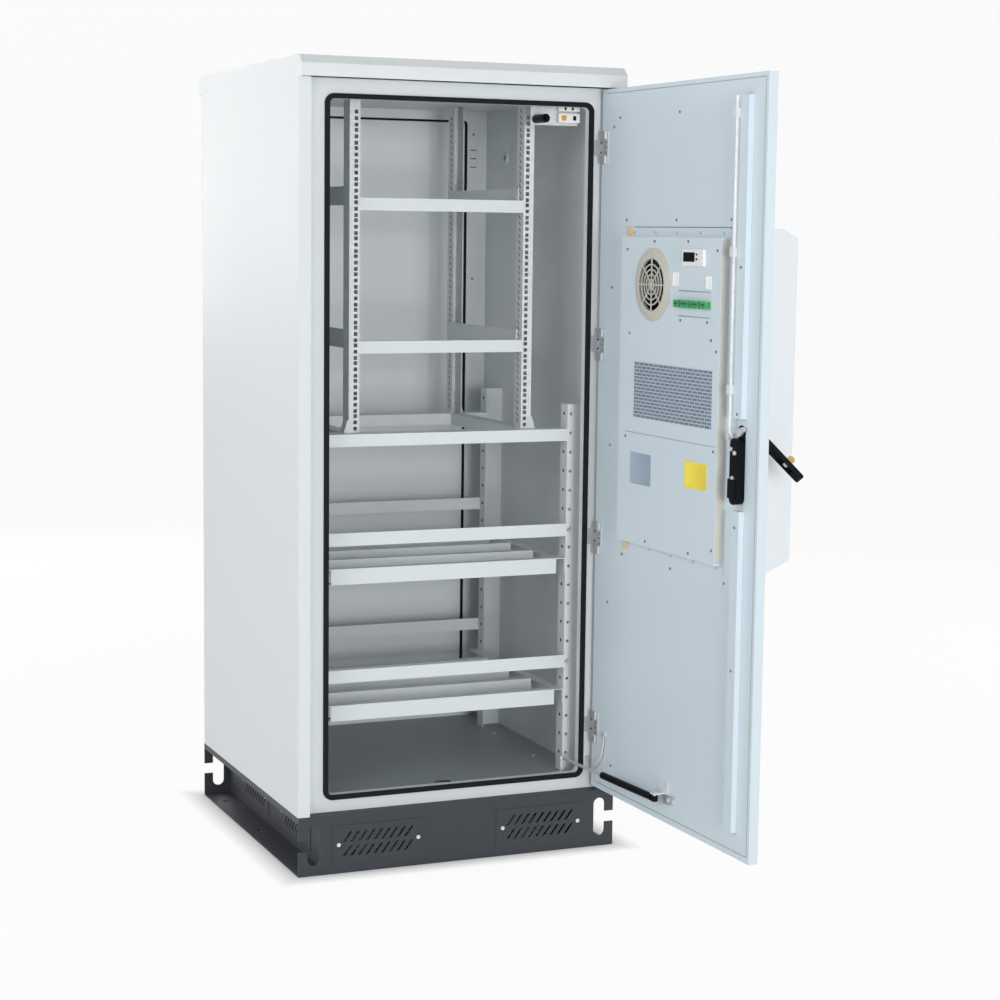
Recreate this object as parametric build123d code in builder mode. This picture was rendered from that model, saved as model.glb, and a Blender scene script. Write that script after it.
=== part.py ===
from build123d import *
import math
import os

os.makedirs("parts", exist_ok=True)
pieces = {}

# Driving dimensions, in millimetres: X to the right, Y to the rear, Z up from the floor
sheet = 2.0
body_width = 864.0
body_depth = 858.0
body_height = 1807.0
plinth_height = 150.0
wall_thickness = 31.0
seat_gap = 0.3
running_clearance = 0.05

half_width = body_width / 2
half_depth = body_depth / 2
inner_half_width = half_width - wall_thickness
body_top = plinth_height + body_height


def front_plane(y):
    """Upright plane at depth y: X to the right, Z up, its normal towards the front."""
    return Plane.XZ.offset(-y)


def centre(low, high):
    """The middle between two limits."""
    return (low + high) / 2


# Plinth: folded plates with hook cut-outs, joined by two C channels
plinth_overhang = 2.5
plinth_plate = 4.0
plinth_flange = 50.0
web_inset = 75.0
flange_lip = 16.0
hook_inset = 40.0
hook_width = 32.0
hook_height = 102.0
hook_z = 77.0
mouth_height = 29.0
vent_x = 222.0
web_vent_y = 180.0
vent_z = 74.0
vent_width = 245.0
vent_height = 96.0
vent_sheet = 1.5
slot_field = 184.0
slot_columns = 9
slot_rows = 2
slot_height = 26.0
slot_width = 6.5
slot_lean = 20.0
slot_row_pitch = 36.0
vent_screw_span = 212.0
anchor_hole_radius = 9.0
anchor_inset = 35.0
anchor_span = 660.0

plinth_half_depth = half_depth + plinth_overhang
hook_x = half_width - hook_inset
web_outer = half_width - web_inset
channel_half_length = plinth_half_depth - plinth_plate
anchor_x = half_width - anchor_inset

with BuildPart() as plinth:
    with BuildSketch(front_plane(-plinth_half_depth)):
        with Locations((0, plinth_height / 2)):
            Rectangle(body_width, plinth_height)
        for side in (-1, 1):
            with Locations((side * hook_x, hook_z)):
                SlotOverall(hook_height, hook_width, rotation=90, mode=Mode.SUBTRACT)
            with Locations((side * centre(hook_x, half_width), hook_z)):
                Rectangle(hook_inset, mouth_height, mode=Mode.SUBTRACT)
            with Locations((side * vent_x, vent_z)):
                Rectangle(slot_field, 2 * slot_row_pitch, mode=Mode.SUBTRACT)
    extrude(amount=-plinth_plate)
    with BuildSketch(Plane.XY.offset(plinth_height - plinth_plate)):
        with Locations((0, plinth_flange / 2 - plinth_half_depth)):
            Rectangle(2 * web_outer, plinth_flange)
    extrude(amount=plinth_plate)
    mirror(about=Plane.XZ)
    with BuildSketch(front_plane(-channel_half_length)):
        for side in (-1, 1):
            with Locations((side * (web_outer - plinth_plate / 2), plinth_height / 2)):
                Rectangle(plinth_plate, plinth_height)
            for z in (plinth_plate / 2, plinth_height - plinth_plate / 2):
                with Locations((side * centre(web_outer, half_width), z)):
                    Rectangle(web_inset, plinth_plate)
            lip_x = half_width - plinth_plate / 2
            with Locations((side * lip_x, plinth_height - flange_lip / 2)):
                Rectangle(plinth_plate, flange_lip)
    extrude(amount=-2 * channel_half_length)
    with BuildSketch(Plane.YZ.offset(-half_width)):
        with Locations((web_vent_y, vent_z), (-web_vent_y, vent_z)):
            Rectangle(slot_field, 2 * slot_row_pitch)
    extrude(amount=body_width, mode=Mode.SUBTRACT)
    with BuildSketch():
        with GridLocations(2 * anchor_x, anchor_span / 2, 2, 3):
            Circle(anchor_hole_radius)
    extrude(amount=plinth_plate, mode=Mode.SUBTRACT)
pieces["plinth"] = plinth.part


def vent_planes():
    """The outer planes of the eight louvred plates, two on each side of the plinth."""
    for side in (-1, 1):
        x_dir = (1, 0, 0)
        yield Plane((side * vent_x, -plinth_half_depth, vent_z), x_dir, (0, -1, 0))
        yield Plane((side * vent_x, plinth_half_depth, vent_z), (-1, 0, 0), (0, 1, 0))
        for end in (-1, 1):
            origin = (side * web_outer, end * web_vent_y, vent_z)
            yield Plane(origin, (0, side, 0), (side, 0, 0))


slot_pitch = (slot_field - slot_lean) / (slot_columns - 1)
slot_foot = -(slot_lean + slot_width) / 2
slot_head = (slot_lean - slot_width) / 2
slot_outline = (
    (slot_foot, -slot_height / 2),
    (slot_foot + slot_width, -slot_height / 2),
    (slot_head + slot_width, slot_height / 2),
    (slot_head, slot_height / 2),
)
with BuildPart() as plinth_vent_plates:
    for plane in vent_planes():
        with BuildSketch(plane):
            Rectangle(vent_width, vent_height)
            with GridLocations(slot_pitch, slot_row_pitch, slot_columns, slot_rows):
                Polygon(*slot_outline, align=None, mode=Mode.SUBTRACT)
        extrude(amount=vent_sheet)
pieces["plinth_vent_plates"] = plinth_vent_plates.part

# Body: two insulated side panels, a front and a rear frame, floor, ceiling and roof
frame_recess = 32.0
opening_side = 56.0
opening_bottom = 43.0
opening_top = 48.0
opening_radius = 12.0
lip_depth = 20.0
rear_recess = 25.0
rear_opening_side = 59.0
rear_gasket_inset = 6.0
rear_gasket_width = 16.0
rear_gasket_height = 6.0
gasket_width = 12.0
gasket_height = 7.5
panel_gap = 2.0
floor_rise = 28.0
ceiling_drop = 22.0
cable_hole_length = 45.0
cable_hole_width = 35.0
cable_hole_setback = 87.0
roof_front_overhang = 15.0
roof_rear_overhang = 41.0
roof_height = 51.0
roof_chamfer = 20.0
roof_side_inset = 3.0

frame_y = -half_depth + frame_recess
frame_back = frame_y + sheet
rear_frame_y = half_depth - rear_recess
opening_half = inner_half_width - opening_side
opening_low = plinth_height + opening_bottom
opening_high = body_top - opening_top
floor_z = plinth_height + floor_rise
ceiling_z = body_top - ceiling_drop

for name, side in (("left_side_panel", -1), ("right_side_panel", 1)):
    with BuildPart() as side_panel:
        with BuildSketch(Plane.XY.offset(plinth_height)):
            with Locations((side * (half_width - wall_thickness / 2), 0)):
                Rectangle(wall_thickness, body_depth)
        extrude(amount=body_height)
    pieces[name] = side_panel.part


def framed_opening(half, low, high, radius, extra=0.0):
    """A rounded opening in the running upright sketch, grown by extra on every side."""
    with Locations((0, centre(low, high))):
        return RectangleRounded(
            2 * (half + extra), high - low + 2 * extra, radius + extra, mode=Mode.PRIVATE
        )


def ring(half, low, high, radius, inner, outer):
    """A rounded ring around an opening, from inner to outer beyond its edge."""
    outside = framed_opening(half, low, high, radius, outer)
    inside = framed_opening(half, low, high, radius, inner)
    return outside - inside


front_opening = (opening_half, opening_low, opening_high, opening_radius)
rear_opening = (inner_half_width - rear_opening_side, opening_low, opening_high, opening_radius)

# The latch rod rises through a hole in the frame's upper lip, in line with the door's rod
door_hinge_gap = 4.5
door_free_gap = 2.0
door_thickness = 24.0
rod_u = 694.2
rod_off = 18.0
rod_radius = 4.0
rod_hole_radius = 6.0
door_hinge_x = inner_half_width - door_hinge_gap
door_inner_y = -half_depth + door_thickness
rod_x = door_hinge_x - rod_u
rod_y = door_inner_y + rod_off

for name, y, opening in (
    ("front_frame", frame_y, front_opening),
    ("rear_frame", rear_frame_y, rear_opening),
):
    with BuildPart() as frame:
        with BuildSketch(front_plane(y)):
            with Locations((0, centre(plinth_height, body_top))):
                Rectangle(2 * inner_half_width, body_height)
            add(framed_opening(*opening), mode=Mode.SUBTRACT)
        extrude(amount=-sheet)
        if name == "front_frame":
            with BuildSketch(front_plane(y)):
                add(ring(*opening, 0, sheet))
            extrude(amount=-lip_depth)
            with Locations((rod_x, rod_y, opening_high + sheet / 2)):
                Cylinder(rod_hole_radius, 2 * sheet, mode=Mode.SUBTRACT)
    pieces[name] = frame.part

with BuildPart() as front_gasket:
    with BuildSketch(front_plane(frame_y)):
        add(ring(*front_opening, 0, gasket_width))
    extrude(amount=gasket_height)
pieces["front_gasket"] = front_gasket.part

with BuildPart() as rear_gasket:
    with BuildSketch(front_plane(rear_frame_y + sheet)):
        add(ring(*rear_opening, -rear_gasket_inset, rear_gasket_width - rear_gasket_inset))
    extrude(amount=-rear_gasket_height)
pieces["rear_gasket"] = rear_gasket.part

rear_panel_y = rear_frame_y + sheet + rear_gasket_height
with BuildPart() as rear_panel:
    with BuildSketch(front_plane(rear_panel_y)):
        with Locations((0, centre(plinth_height, body_top))):
            Rectangle(2 * (inner_half_width - panel_gap), body_height - 2 * panel_gap)
    extrude(amount=-(half_depth - rear_panel_y))
pieces["rear_panel"] = rear_panel.part

with BuildPart() as floor_pan:
    with BuildSketch(Plane.XY.offset(plinth_height)):
        with Locations((0, centre(frame_back, rear_frame_y))):
            Rectangle(2 * inner_half_width, rear_frame_y - frame_back)
    extrude(amount=floor_rise)
    offset(amount=-sheet, openings=floor_pan.faces().sort_by(Axis.Z)[0])
    with BuildSketch(Plane.XY.offset(floor_z - sheet)):
        with Locations((0, frame_y + cable_hole_setback)):
            Ellipse(cable_hole_length / 2, cable_hole_width / 2)
    extrude(amount=sheet, mode=Mode.SUBTRACT)
pieces["floor_pan"] = floor_pan.part

with BuildPart() as ceiling_panel:
    with BuildSketch(Plane.XY.offset(ceiling_z)):
        with Locations((0, centre(frame_back, rear_frame_y))):
            Rectangle(2 * inner_half_width, rear_frame_y - frame_back)
    extrude(amount=ceiling_drop)
    offset(amount=-sheet, openings=ceiling_panel.faces().sort_by(Axis.Z)[-1])
pieces["ceiling_panel"] = ceiling_panel.part

with BuildPart() as roof_cap:
    roof_length = body_depth + roof_front_overhang + roof_rear_overhang
    with BuildSketch(Plane.XY.offset(body_top)):
        with Locations((0, (roof_rear_overhang - roof_front_overhang) / 2)):
            Rectangle(body_width - 2 * roof_side_inset, roof_length)
    extrude(amount=roof_height)
    long_edges = roof_cap.faces().sort_by(Axis.Z)[-1].edges().filter_by(Axis.X)
    chamfer(long_edges, length=roof_chamfer)
    offset(amount=-sheet, openings=roof_cap.faces().sort_by(Axis.Z)[0])
pieces["roof_cap"] = roof_cap.part

# Lower bay: four punched corner posts, two battery shelves with retaining bars
bay_setback = 80.0
bay_depth = 587.0
post_face = 65.0
post_flange = 41.0
post_height = 974.0
post_hole_radius = 4.5
post_hole_inset = 10.0
post_hole_pitch = 50.0
post_hole_start = 49.0
post_hole_count = 19
shelf_bar_height = 40.0
shelf_bar_flange = 26.0
shelf_bar_pitch = 150.0
shelf_bar_count = 4
shelf_rail_width = 26.0
retainer_height = 33.0
retainer_thickness = 3.0
retainer_lap = 9.0
retainer_rise = 58.0
upper_shelf_rise = 571.0
lower_shelf_rise = 222.0

bay_front = frame_y + bay_setback
bay_rear = bay_front + bay_depth
bay_middle = centre(bay_front, bay_rear)
post_inner = inner_half_width - post_face
post_top = floor_z + post_height


def four_corners(name, front_right, middle_y):
    """The post at all four corners: mirrored to the rear and to the left."""
    rear_right = mirror(front_right, about=front_plane(middle_y))
    pieces[name + "_front_right"] = front_right
    pieces[name + "_rear_right"] = rear_right
    pieces[name + "_front_left"] = mirror(front_right, about=Plane.YZ)
    pieces[name + "_rear_left"] = mirror(rear_right, about=Plane.YZ)


hole_z = [floor_z + post_hole_start + post_hole_pitch * row for row in range(post_hole_count)]
with BuildPart() as lower_post:
    with BuildSketch(Plane.XY.offset(floor_z)):
        with BuildLine():
            Polyline(
                (inner_half_width, bay_front),
                (post_inner, bay_front),
                (post_inner, bay_front + post_flange),
                (post_inner + sheet, bay_front + post_flange),
                (post_inner + sheet, bay_front + sheet),
                (inner_half_width, bay_front + sheet),
                close=True,
            )
        make_face()
    extrude(amount=post_height)
    with BuildSketch(front_plane(bay_front)):
        with Locations(*[(post_inner + post_hole_inset, z) for z in hole_z]):
            RegularPolygon(post_hole_radius, 6)
    extrude(amount=-sheet, mode=Mode.SUBTRACT)
four_corners("lower_post", lower_post.part, bay_middle)

for name, rise in (
    ("battery_shelf_upper", upper_shelf_rise),
    ("battery_shelf_lower", lower_shelf_rise),
):
    shelf_top = floor_z + rise
    bar_half_length = post_inner - shelf_rail_width
    with BuildPart() as shelf:
        for number in range(shelf_bar_count):
            bar_y = bay_front + number * shelf_bar_pitch
            with BuildSketch(Plane.YZ.offset(-bar_half_length)):
                with BuildLine():
                    Polyline(
                        (bar_y + shelf_bar_flange, shelf_top),
                        (bar_y, shelf_top),
                        (bar_y, shelf_top - shelf_bar_height),
                        (bar_y + shelf_bar_flange, shelf_top - shelf_bar_height),
                        (bar_y + shelf_bar_flange, shelf_top - shelf_bar_height + sheet),
                        (bar_y + sheet, shelf_top - shelf_bar_height + sheet),
                        (bar_y + sheet, shelf_top - sheet),
                        (bar_y + shelf_bar_flange, shelf_top - sheet),
                        close=True,
                    )
                make_face()
            extrude(amount=2 * bar_half_length)
        with BuildSketch(front_plane(bay_front)):
            for side in (-1, 1):
                with Locations((side * (post_inner - sheet / 2), shelf_top - shelf_bar_height / 2)):
                    Rectangle(sheet, shelf_bar_height)
                with Locations((side * centre(bar_half_length, post_inner), shelf_top - sheet / 2)):
                    Rectangle(shelf_rail_width, sheet)
        extrude(amount=-bay_depth)
    pieces[name] = shelf.part

with BuildPart() as battery_retaining_bars:
    for y in (bay_front - retainer_thickness, bay_rear):
        with BuildSketch(front_plane(y)):
            for rise in (upper_shelf_rise, lower_shelf_rise):
                bar_low = floor_z + rise + retainer_rise
                with Locations((0, bar_low + retainer_height / 2)):
                    Rectangle(2 * (post_inner + retainer_lap), retainer_height)
        extrude(amount=-retainer_thickness)
pieces["battery_retaining_bars"] = battery_retaining_bars.part

# Equipment rack: 19-inch posts on a welded base frame, with beams and rails between them
rack_setback = 123.0
rack_depth = 524.0
rack_unit = 44.45
rack_units = 18
rack_hole_spacing = 465.1
rack_hole_size = 9.5
rack_hole_offsets = (6.35, 22.225, 38.1)
rack_first_unit = 3.9
rack_post_width = 28.0
rack_post_depth = 45.0
rack_hole_inset = 10.55
rack_base_height = 31.0
rack_base_rise = 910.0
rack_beam_front_depth = 67.0
rack_beam_rear_depth = 45.0
rack_base_rail_width = 40.0
cross_beam_depth = 30.0
cross_beam_height = 31.0
cross_beam_rises = (199.0, 556.0)
side_rail_height = 48.0
side_rail_rises = (207.0, 569.0)
side_rail_thickness = 3.0
side_rail_setback = 30.0
side_rail_rear_gap = 14.0
foot_bracket_width = 12.0
foot_bracket_height = 32.0
foot_bracket_depth = 30.0
foot_bracket_sheet = 3.0

rack_front = frame_y + rack_setback
rack_rear = rack_front + rack_depth
rack_base_top = floor_z + rack_base_rise
rack_post_inner = rack_hole_spacing / 2 - rack_hole_inset
rack_post_outer = rack_post_inner + rack_post_width

with BuildPart() as rack_post:
    with BuildSketch(Plane.XY.offset(rack_base_top)):
        with Locations((centre(rack_post_inner, rack_post_outer), rack_front + rack_post_depth / 2)):
            Rectangle(rack_post_width, rack_post_depth)
        with Locations(
            (centre(rack_post_inner, rack_post_outer), rack_front + sheet + rack_post_depth / 2)
        ):
            Rectangle(rack_post_width - 2 * sheet, rack_post_depth, mode=Mode.SUBTRACT)
    extrude(amount=ceiling_z - rack_base_top)
    with BuildSketch(front_plane(rack_front)):
        hole_heights = [
            rack_base_top + rack_first_unit + rack_unit * number + rise
            for number in range(rack_units)
            for rise in rack_hole_offsets
        ]
        with Locations(*[(rack_hole_spacing / 2, z) for z in hole_heights]):
            Rectangle(rack_hole_size, rack_hole_size)
    extrude(amount=-sheet, mode=Mode.SUBTRACT)
four_corners("rack_post", rack_post.part, centre(rack_front, rack_rear))

base_rear = rack_rear + (bay_rear - rack_rear) / 2
with BuildPart() as rack_base_frame:
    with BuildSketch(Plane.XY.offset(rack_base_top - rack_base_height)):
        with Locations((0, bay_front + rack_beam_front_depth / 2)):
            Rectangle(2 * post_inner, rack_beam_front_depth)
        with Locations((0, base_rear - rack_beam_rear_depth / 2)):
            Rectangle(2 * post_inner, rack_beam_rear_depth)
        for side in (-1, 1):
            rail_x = side * (rack_post_inner + rack_base_rail_width / 2)
            with Locations((rail_x, centre(bay_front, base_rear))):
                Rectangle(rack_base_rail_width, base_rear - bay_front)
    extrude(amount=rack_base_height)
pieces["rack_base_frame"] = rack_base_frame.part

with BuildPart() as rack_cross_beams:
    with BuildSketch(Plane.YZ.offset(-rack_post_inner)):
        for rise in cross_beam_rises:
            beam_z = rack_base_top + rise + cross_beam_height / 2
            with Locations((rack_front + cross_beam_depth / 2, beam_z)):
                Rectangle(cross_beam_depth, cross_beam_height)
            with Locations((rack_front + sheet + cross_beam_depth / 2, beam_z)):
                Rectangle(cross_beam_depth, cross_beam_height - 2 * sheet, mode=Mode.SUBTRACT)
    extrude(amount=2 * rack_post_inner)
pieces["rack_cross_beams"] = rack_cross_beams.part

rail_front = rack_front + side_rail_setback
rail_rear = rack_rear - side_rail_rear_gap
with BuildPart() as rack_side_rails:
    with BuildSketch(front_plane(rail_front)):
        for rise in side_rail_rises:
            rail_z = rack_base_top + rise + side_rail_height / 2
            with Locations((rack_post_inner - side_rail_thickness / 2, rail_z)):
                Rectangle(side_rail_thickness, side_rail_height)
    extrude(amount=-(rail_rear - rail_front))
    mirror(about=Plane.YZ)
pieces["rack_side_rails"] = rack_side_rails.part

with BuildPart() as rack_foot_brackets:
    for y in (rack_front, rack_rear - foot_bracket_depth):
        with BuildSketch(front_plane(y)):
            with BuildLine():
                Polyline(
                    (rack_post_outer, rack_base_top),
                    (rack_post_outer + foot_bracket_width, rack_base_top),
                    (rack_post_outer + foot_bracket_width, rack_base_top + foot_bracket_sheet),
                    (rack_post_outer + foot_bracket_sheet, rack_base_top + foot_bracket_height),
                    (rack_post_outer, rack_base_top + foot_bracket_height),
                    close=True,
                )
            make_face()
        extrude(amount=-foot_bracket_depth)
    mirror(about=Plane.YZ)
pieces["rack_foot_brackets"] = rack_foot_brackets.part

# Hexagon bolts of the rack, the bay, the floor, the rear panel and the vent plates
bolt_radius = 5.5
bolt_height = 4.0
rail_bolt_front = 7.0
rail_bolt_rear = 23.0
floor_bolt_x = 333.0
floor_bolt_spacing = 276.0
panel_bolt_x = 318.0
panel_bolt_pitch = 398.0
panel_bolt_count = 5
panel_bolt_drop = 102.0
earth_stud_height = 8.0
frame_stud_x = 370.0
frame_stud_rise = 54.0

with BuildPart() as frame_bolts:
    with BuildSketch(Plane.YZ.offset(rack_post_inner - side_rail_thickness)):
        for rise in side_rail_rises:
            for y in (rail_front + rail_bolt_front, rail_rear - rail_bolt_rear):
                with Locations((y, rack_base_top + rise + side_rail_height / 2)):
                    RegularPolygon(bolt_radius, 6)
    extrude(amount=-bolt_height)
    with BuildSketch(front_plane(bay_front - retainer_thickness)):
        for rise in (upper_shelf_rise, lower_shelf_rise):
            bolt_z = floor_z + rise + retainer_rise + retainer_height / 2
            with Locations((post_inner + retainer_lap / 2, bolt_z)):
                RegularPolygon(bolt_radius, 6)
    extrude(amount=bolt_height)
    with BuildSketch(Plane.XY.offset(floor_z)):
        with GridLocations(2 * floor_bolt_x, floor_bolt_spacing, 2, 2):
            RegularPolygon(bolt_radius, 6)
    extrude(amount=bolt_height)
    with BuildSketch(front_plane(rear_panel_y)):
        for number in range(panel_bolt_count):
            with Locations((panel_bolt_x, opening_high - panel_bolt_drop / 2 - panel_bolt_pitch * number)):
                RegularPolygon(bolt_radius, 6)
    extrude(amount=bolt_height)
    mirror(about=Plane.YZ)
    with BuildSketch(front_plane(frame_y)):
        with Locations((frame_stud_x, floor_z + frame_stud_rise)):
            RegularPolygon(bolt_radius, 6)
    extrude(amount=earth_stud_height)
    for plane in vent_planes():
        with BuildSketch(plane.offset(vent_sheet)):
            with GridLocations(vent_screw_span, 0, 2, 1):
                RegularPolygon(bolt_radius, 6)
        extrude(amount=bolt_height)
pieces["frame_bolts"] = frame_bolts.part

# Bracket under the ceiling with two terminal blocks and the door switch
bracket_setback = 67.0
bracket_right = 345.0
bracket_left = 214.0
bracket_drop = 70.0
bracket_flange = 20.0
terminal_depth = 18.0
terminal_left = 284.0
terminal_right = 343.0
terminal_rows = ((-35.0, -17.0), (-63.0, -40.0))
switch_x = 228.6
switch_drop = 55.5
switch_radius = 11.0
switch_length = 62.0
plunger_radius = 5.0
plunger_clearance = 0.3
plunger_bore = 24.0
plunger_inside = 14.0
plunger_tip_gap = 0.7

bracket_y = frame_y + bracket_setback
switch_z = ceiling_z - switch_drop
switch_front = bracket_y - switch_length

with BuildPart() as terminal_bracket:
    with BuildSketch(front_plane(bracket_y)):
        with Locations((centre(bracket_left, bracket_right), ceiling_z - bracket_drop / 2)):
            Rectangle(bracket_right - bracket_left, bracket_drop)
    extrude(amount=-sheet)
    with BuildSketch(front_plane(bracket_y)):
        with Locations((centre(bracket_left, bracket_right), ceiling_z - sheet / 2)):
            Rectangle(bracket_right - bracket_left, sheet)
    extrude(amount=-bracket_flange)
pieces["terminal_bracket"] = terminal_bracket.part

with BuildPart() as terminal_blocks:
    with BuildSketch(front_plane(bracket_y)):
        for low, high in terminal_rows:
            with Locations((centre(terminal_left, terminal_right), ceiling_z + centre(low, high))):
                Rectangle(terminal_right - terminal_left, high - low)
    extrude(amount=terminal_depth)
pieces["terminal_blocks"] = terminal_blocks.part

with BuildPart() as door_switch_body:
    with BuildSketch(front_plane(bracket_y)):
        with Locations((switch_x, switch_z)):
            Circle(switch_radius)
    extrude(amount=switch_length)
    with BuildSketch(front_plane(switch_front)):
        with Locations((switch_x, switch_z)):
            Circle(plunger_radius + plunger_clearance)
    extrude(amount=-plunger_bore, mode=Mode.SUBTRACT)
pieces["door_switch_body"] = door_switch_body.part

with BuildPart() as door_switch_plunger:
    with BuildSketch(front_plane(switch_front + plunger_inside)):
        with Locations((switch_x, switch_z)):
            Circle(plunger_radius)
    plunger_tip = door_inner_y + plunger_tip_gap
    extrude(amount=switch_front + plunger_inside - plunger_tip)
pieces["door_switch_plunger"] = door_switch_plunger.part

# Door, modelled closed. u runs from its hinge edge, z up, and the normal points inwards
door_bottom_gap = 11.0
door_top_gap = 4.0
hinge_axis_inset = 5.0
hinge_axis_depth = 7.0
rest_angle = 91.5

door_face = Plane((door_hinge_x, door_inner_y, 0), (-1, 0, 0), (0, 1, 0))
door_width = door_hinge_x + inner_half_width - door_free_gap
door_low = plinth_height + door_bottom_gap
door_high = body_top - door_top_gap
axis_x = door_hinge_x - hinge_axis_inset
axis_y = -half_depth + hinge_axis_depth
hinge_axis = Axis((axis_x, axis_y, 0), (0, 0, 1))
door_pieces = {}

# Four hinges: door leaves with two arms, frame leaves with a middle tongue, and pins
hinge_count = 4
hinge_top_drop = 144.0
hinge_pitch = 496.5
hinge_height = 82.0
hinge_arm_height = 20.0
hinge_tongue_height = 40.0
hinge_knuckle_radius = 5.0
hinge_pin_radius = 3.0
hinge_leaf_thickness = 3.0
hinge_leaf_start = 10.5
hinge_leaf_end = 34.5
hinge_arm_rise = 6.5
hinge_arm_start = 24.5
hinge_base_start = 361.0
hinge_base_end_gap = 1.0
hinge_tongue_width = 6.0
notch_depth = 13.5
notch_skin = 1.5
notch_margin = 1.0

hinge_heights = [door_high - hinge_top_drop - hinge_pitch * number for number in range(hinge_count)]
arm_offset = (hinge_height - hinge_arm_height) / 2

with BuildPart() as hinge_door_leaves:
    for z in hinge_heights:
        with BuildSketch(door_face):
            with Locations((centre(hinge_leaf_start, hinge_leaf_end), z)):
                Rectangle(hinge_leaf_end - hinge_leaf_start, hinge_height)
        extrude(amount=hinge_leaf_thickness)
        for arm_z in (z - arm_offset, z + arm_offset):
            with BuildSketch(Plane.XY.offset(arm_z - hinge_arm_height / 2)):
                arm_top = door_inner_y + hinge_arm_rise
                arm_x = door_hinge_x - centre(hinge_arm_start, hinge_axis_inset)
                with Locations((arm_x, centre(door_inner_y, arm_top))):
                    Rectangle(hinge_arm_start - hinge_axis_inset, hinge_arm_rise)
                with Locations((axis_x, centre(axis_y, arm_top))):
                    Rectangle(2 * hinge_knuckle_radius - seat_gap, arm_top - axis_y)
                with Locations((axis_x, axis_y)):
                    Circle(hinge_knuckle_radius)
                    Circle(hinge_pin_radius + running_clearance, mode=Mode.SUBTRACT)
            extrude(amount=hinge_arm_height)
door_pieces["hinge_door_leaves"] = hinge_door_leaves.part

with BuildPart() as hinge_frame_leaves:
    for z in hinge_heights:
        with BuildSketch(Plane.XY.offset(z - hinge_tongue_height / 2)):
            base_end = inner_half_width - hinge_base_end_gap
            with Locations((centre(hinge_base_start, base_end), frame_y - hinge_leaf_thickness / 2)):
                Rectangle(base_end - hinge_base_start, hinge_leaf_thickness)
            with Locations((axis_x, centre(axis_y, frame_y - hinge_leaf_thickness))):
                Rectangle(hinge_tongue_width, frame_y - hinge_leaf_thickness - axis_y)
            with Locations((axis_x, axis_y)):
                Circle(hinge_knuckle_radius)
                Circle(hinge_pin_radius, mode=Mode.SUBTRACT)
        extrude(amount=hinge_tongue_height)
pieces["hinge_frame_leaves"] = hinge_frame_leaves.part

with BuildPart() as hinge_pins:
    for z in hinge_heights:
        with BuildSketch(Plane.XY.offset(z - hinge_height / 2)):
            with Locations((axis_x, axis_y)):
                Circle(hinge_pin_radius)
        extrude(amount=hinge_height)
pieces["hinge_pins"] = hinge_pins.part

# Air conditioner through the door: outer housing, inner cover, fan, controller, terminals
ac_left = 160.0
ac_right = 650.0
ac_low_rise = 650.0
ac_height = 799.0
ac_collar_inset = 6.0
ac_collar_gap = 0.5
ac_bulge = 154.0
ac_top_chamfer = (22.0, 40.0)
ac_bottom_chamfer = (27.0, 62.0)
ac_flange = 2.0
cover_depth = 24.0
cover_side_inset = 2.0
cover_end_inset = 23.0
cover_sheet = 1.5
louvre_columns = 2
louvre_rows = 8
louvre_width = 170.0
louvre_height = 9.0
louvre_pitch_u = 220.0
louvre_pitch_z = 28.0
fan_u = 327.0
fan_drop = 114.0
fan_ring_radius = 88.0
fan_opening_radius = 62.5
fan_ring_height = 6.0
guard_wire = 3.0
guard_rings = (14.0, 26.0, 38.0, 50.0)
guard_spokes = 4
venturi_wall = 3.0
venturi_depth = 50.0
rotor_hub_radius = 22.0
rotor_depth = 22.0
rotor_clearance = 4.5
rotor_gap = 3.0
blade_root = 2.0
blade_count = 7
blade_pitch = 35.0
blade_thickness = 2.0
motor_radius = 20.0
motor_depth = 22.0
motor_shaft_radius = 3.0
motor_arm_width = 8.0
motor_arm_thickness = 4.0
grille_left = 243.0
grille_right = 618.0
grille_drop = 328.0
grille_height = 133.0
grille_columns = 10
grille_rows = 8
grille_hole_width = 27.0
grille_hole_height = 9.0
bezel_left = 476.0
bezel_right = 575.0
bezel_drop = 66.0
bezel_height = 39.0
bezel_proud = 6.0
controller_depth = 18.0
controller_inset = 3.0
button_u = 565.0
button_size = (9.0, 7.0)
button_spacing = 14.0
button_gap = 0.4
button_proud = 1.2
button_travel = 1.0
button_pocket = 7.0
strip_left = 453.0
strip_right = 605.0
strip_drop = 162.0
strip_height = 15.0
strip_base = 3.0
strip_proud = 10.0
strip_groups = 3
strip_group_width = 44.0

ac_low = door_low + ac_low_rise
ac_high = ac_low + ac_height
ac_middle_u = centre(ac_left, ac_right)
ac_middle_z = centre(ac_low, ac_high)
cover_low = ac_low + cover_end_inset
cover_high = ac_high - cover_end_inset
cover_face = door_face.offset(cover_depth)
cover_back = door_face.offset(cover_depth - cover_sheet)
fan_z = cover_high - fan_drop
grille_z = cover_high - grille_drop - grille_height / 2 + cover_end_inset
bezel_z = cover_high - bezel_drop + bezel_height / 2
bezel_u = centre(bezel_left, bezel_right)
strip_z = cover_high - strip_drop + strip_height / 2
strip_u = centre(strip_left, strip_right)

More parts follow.
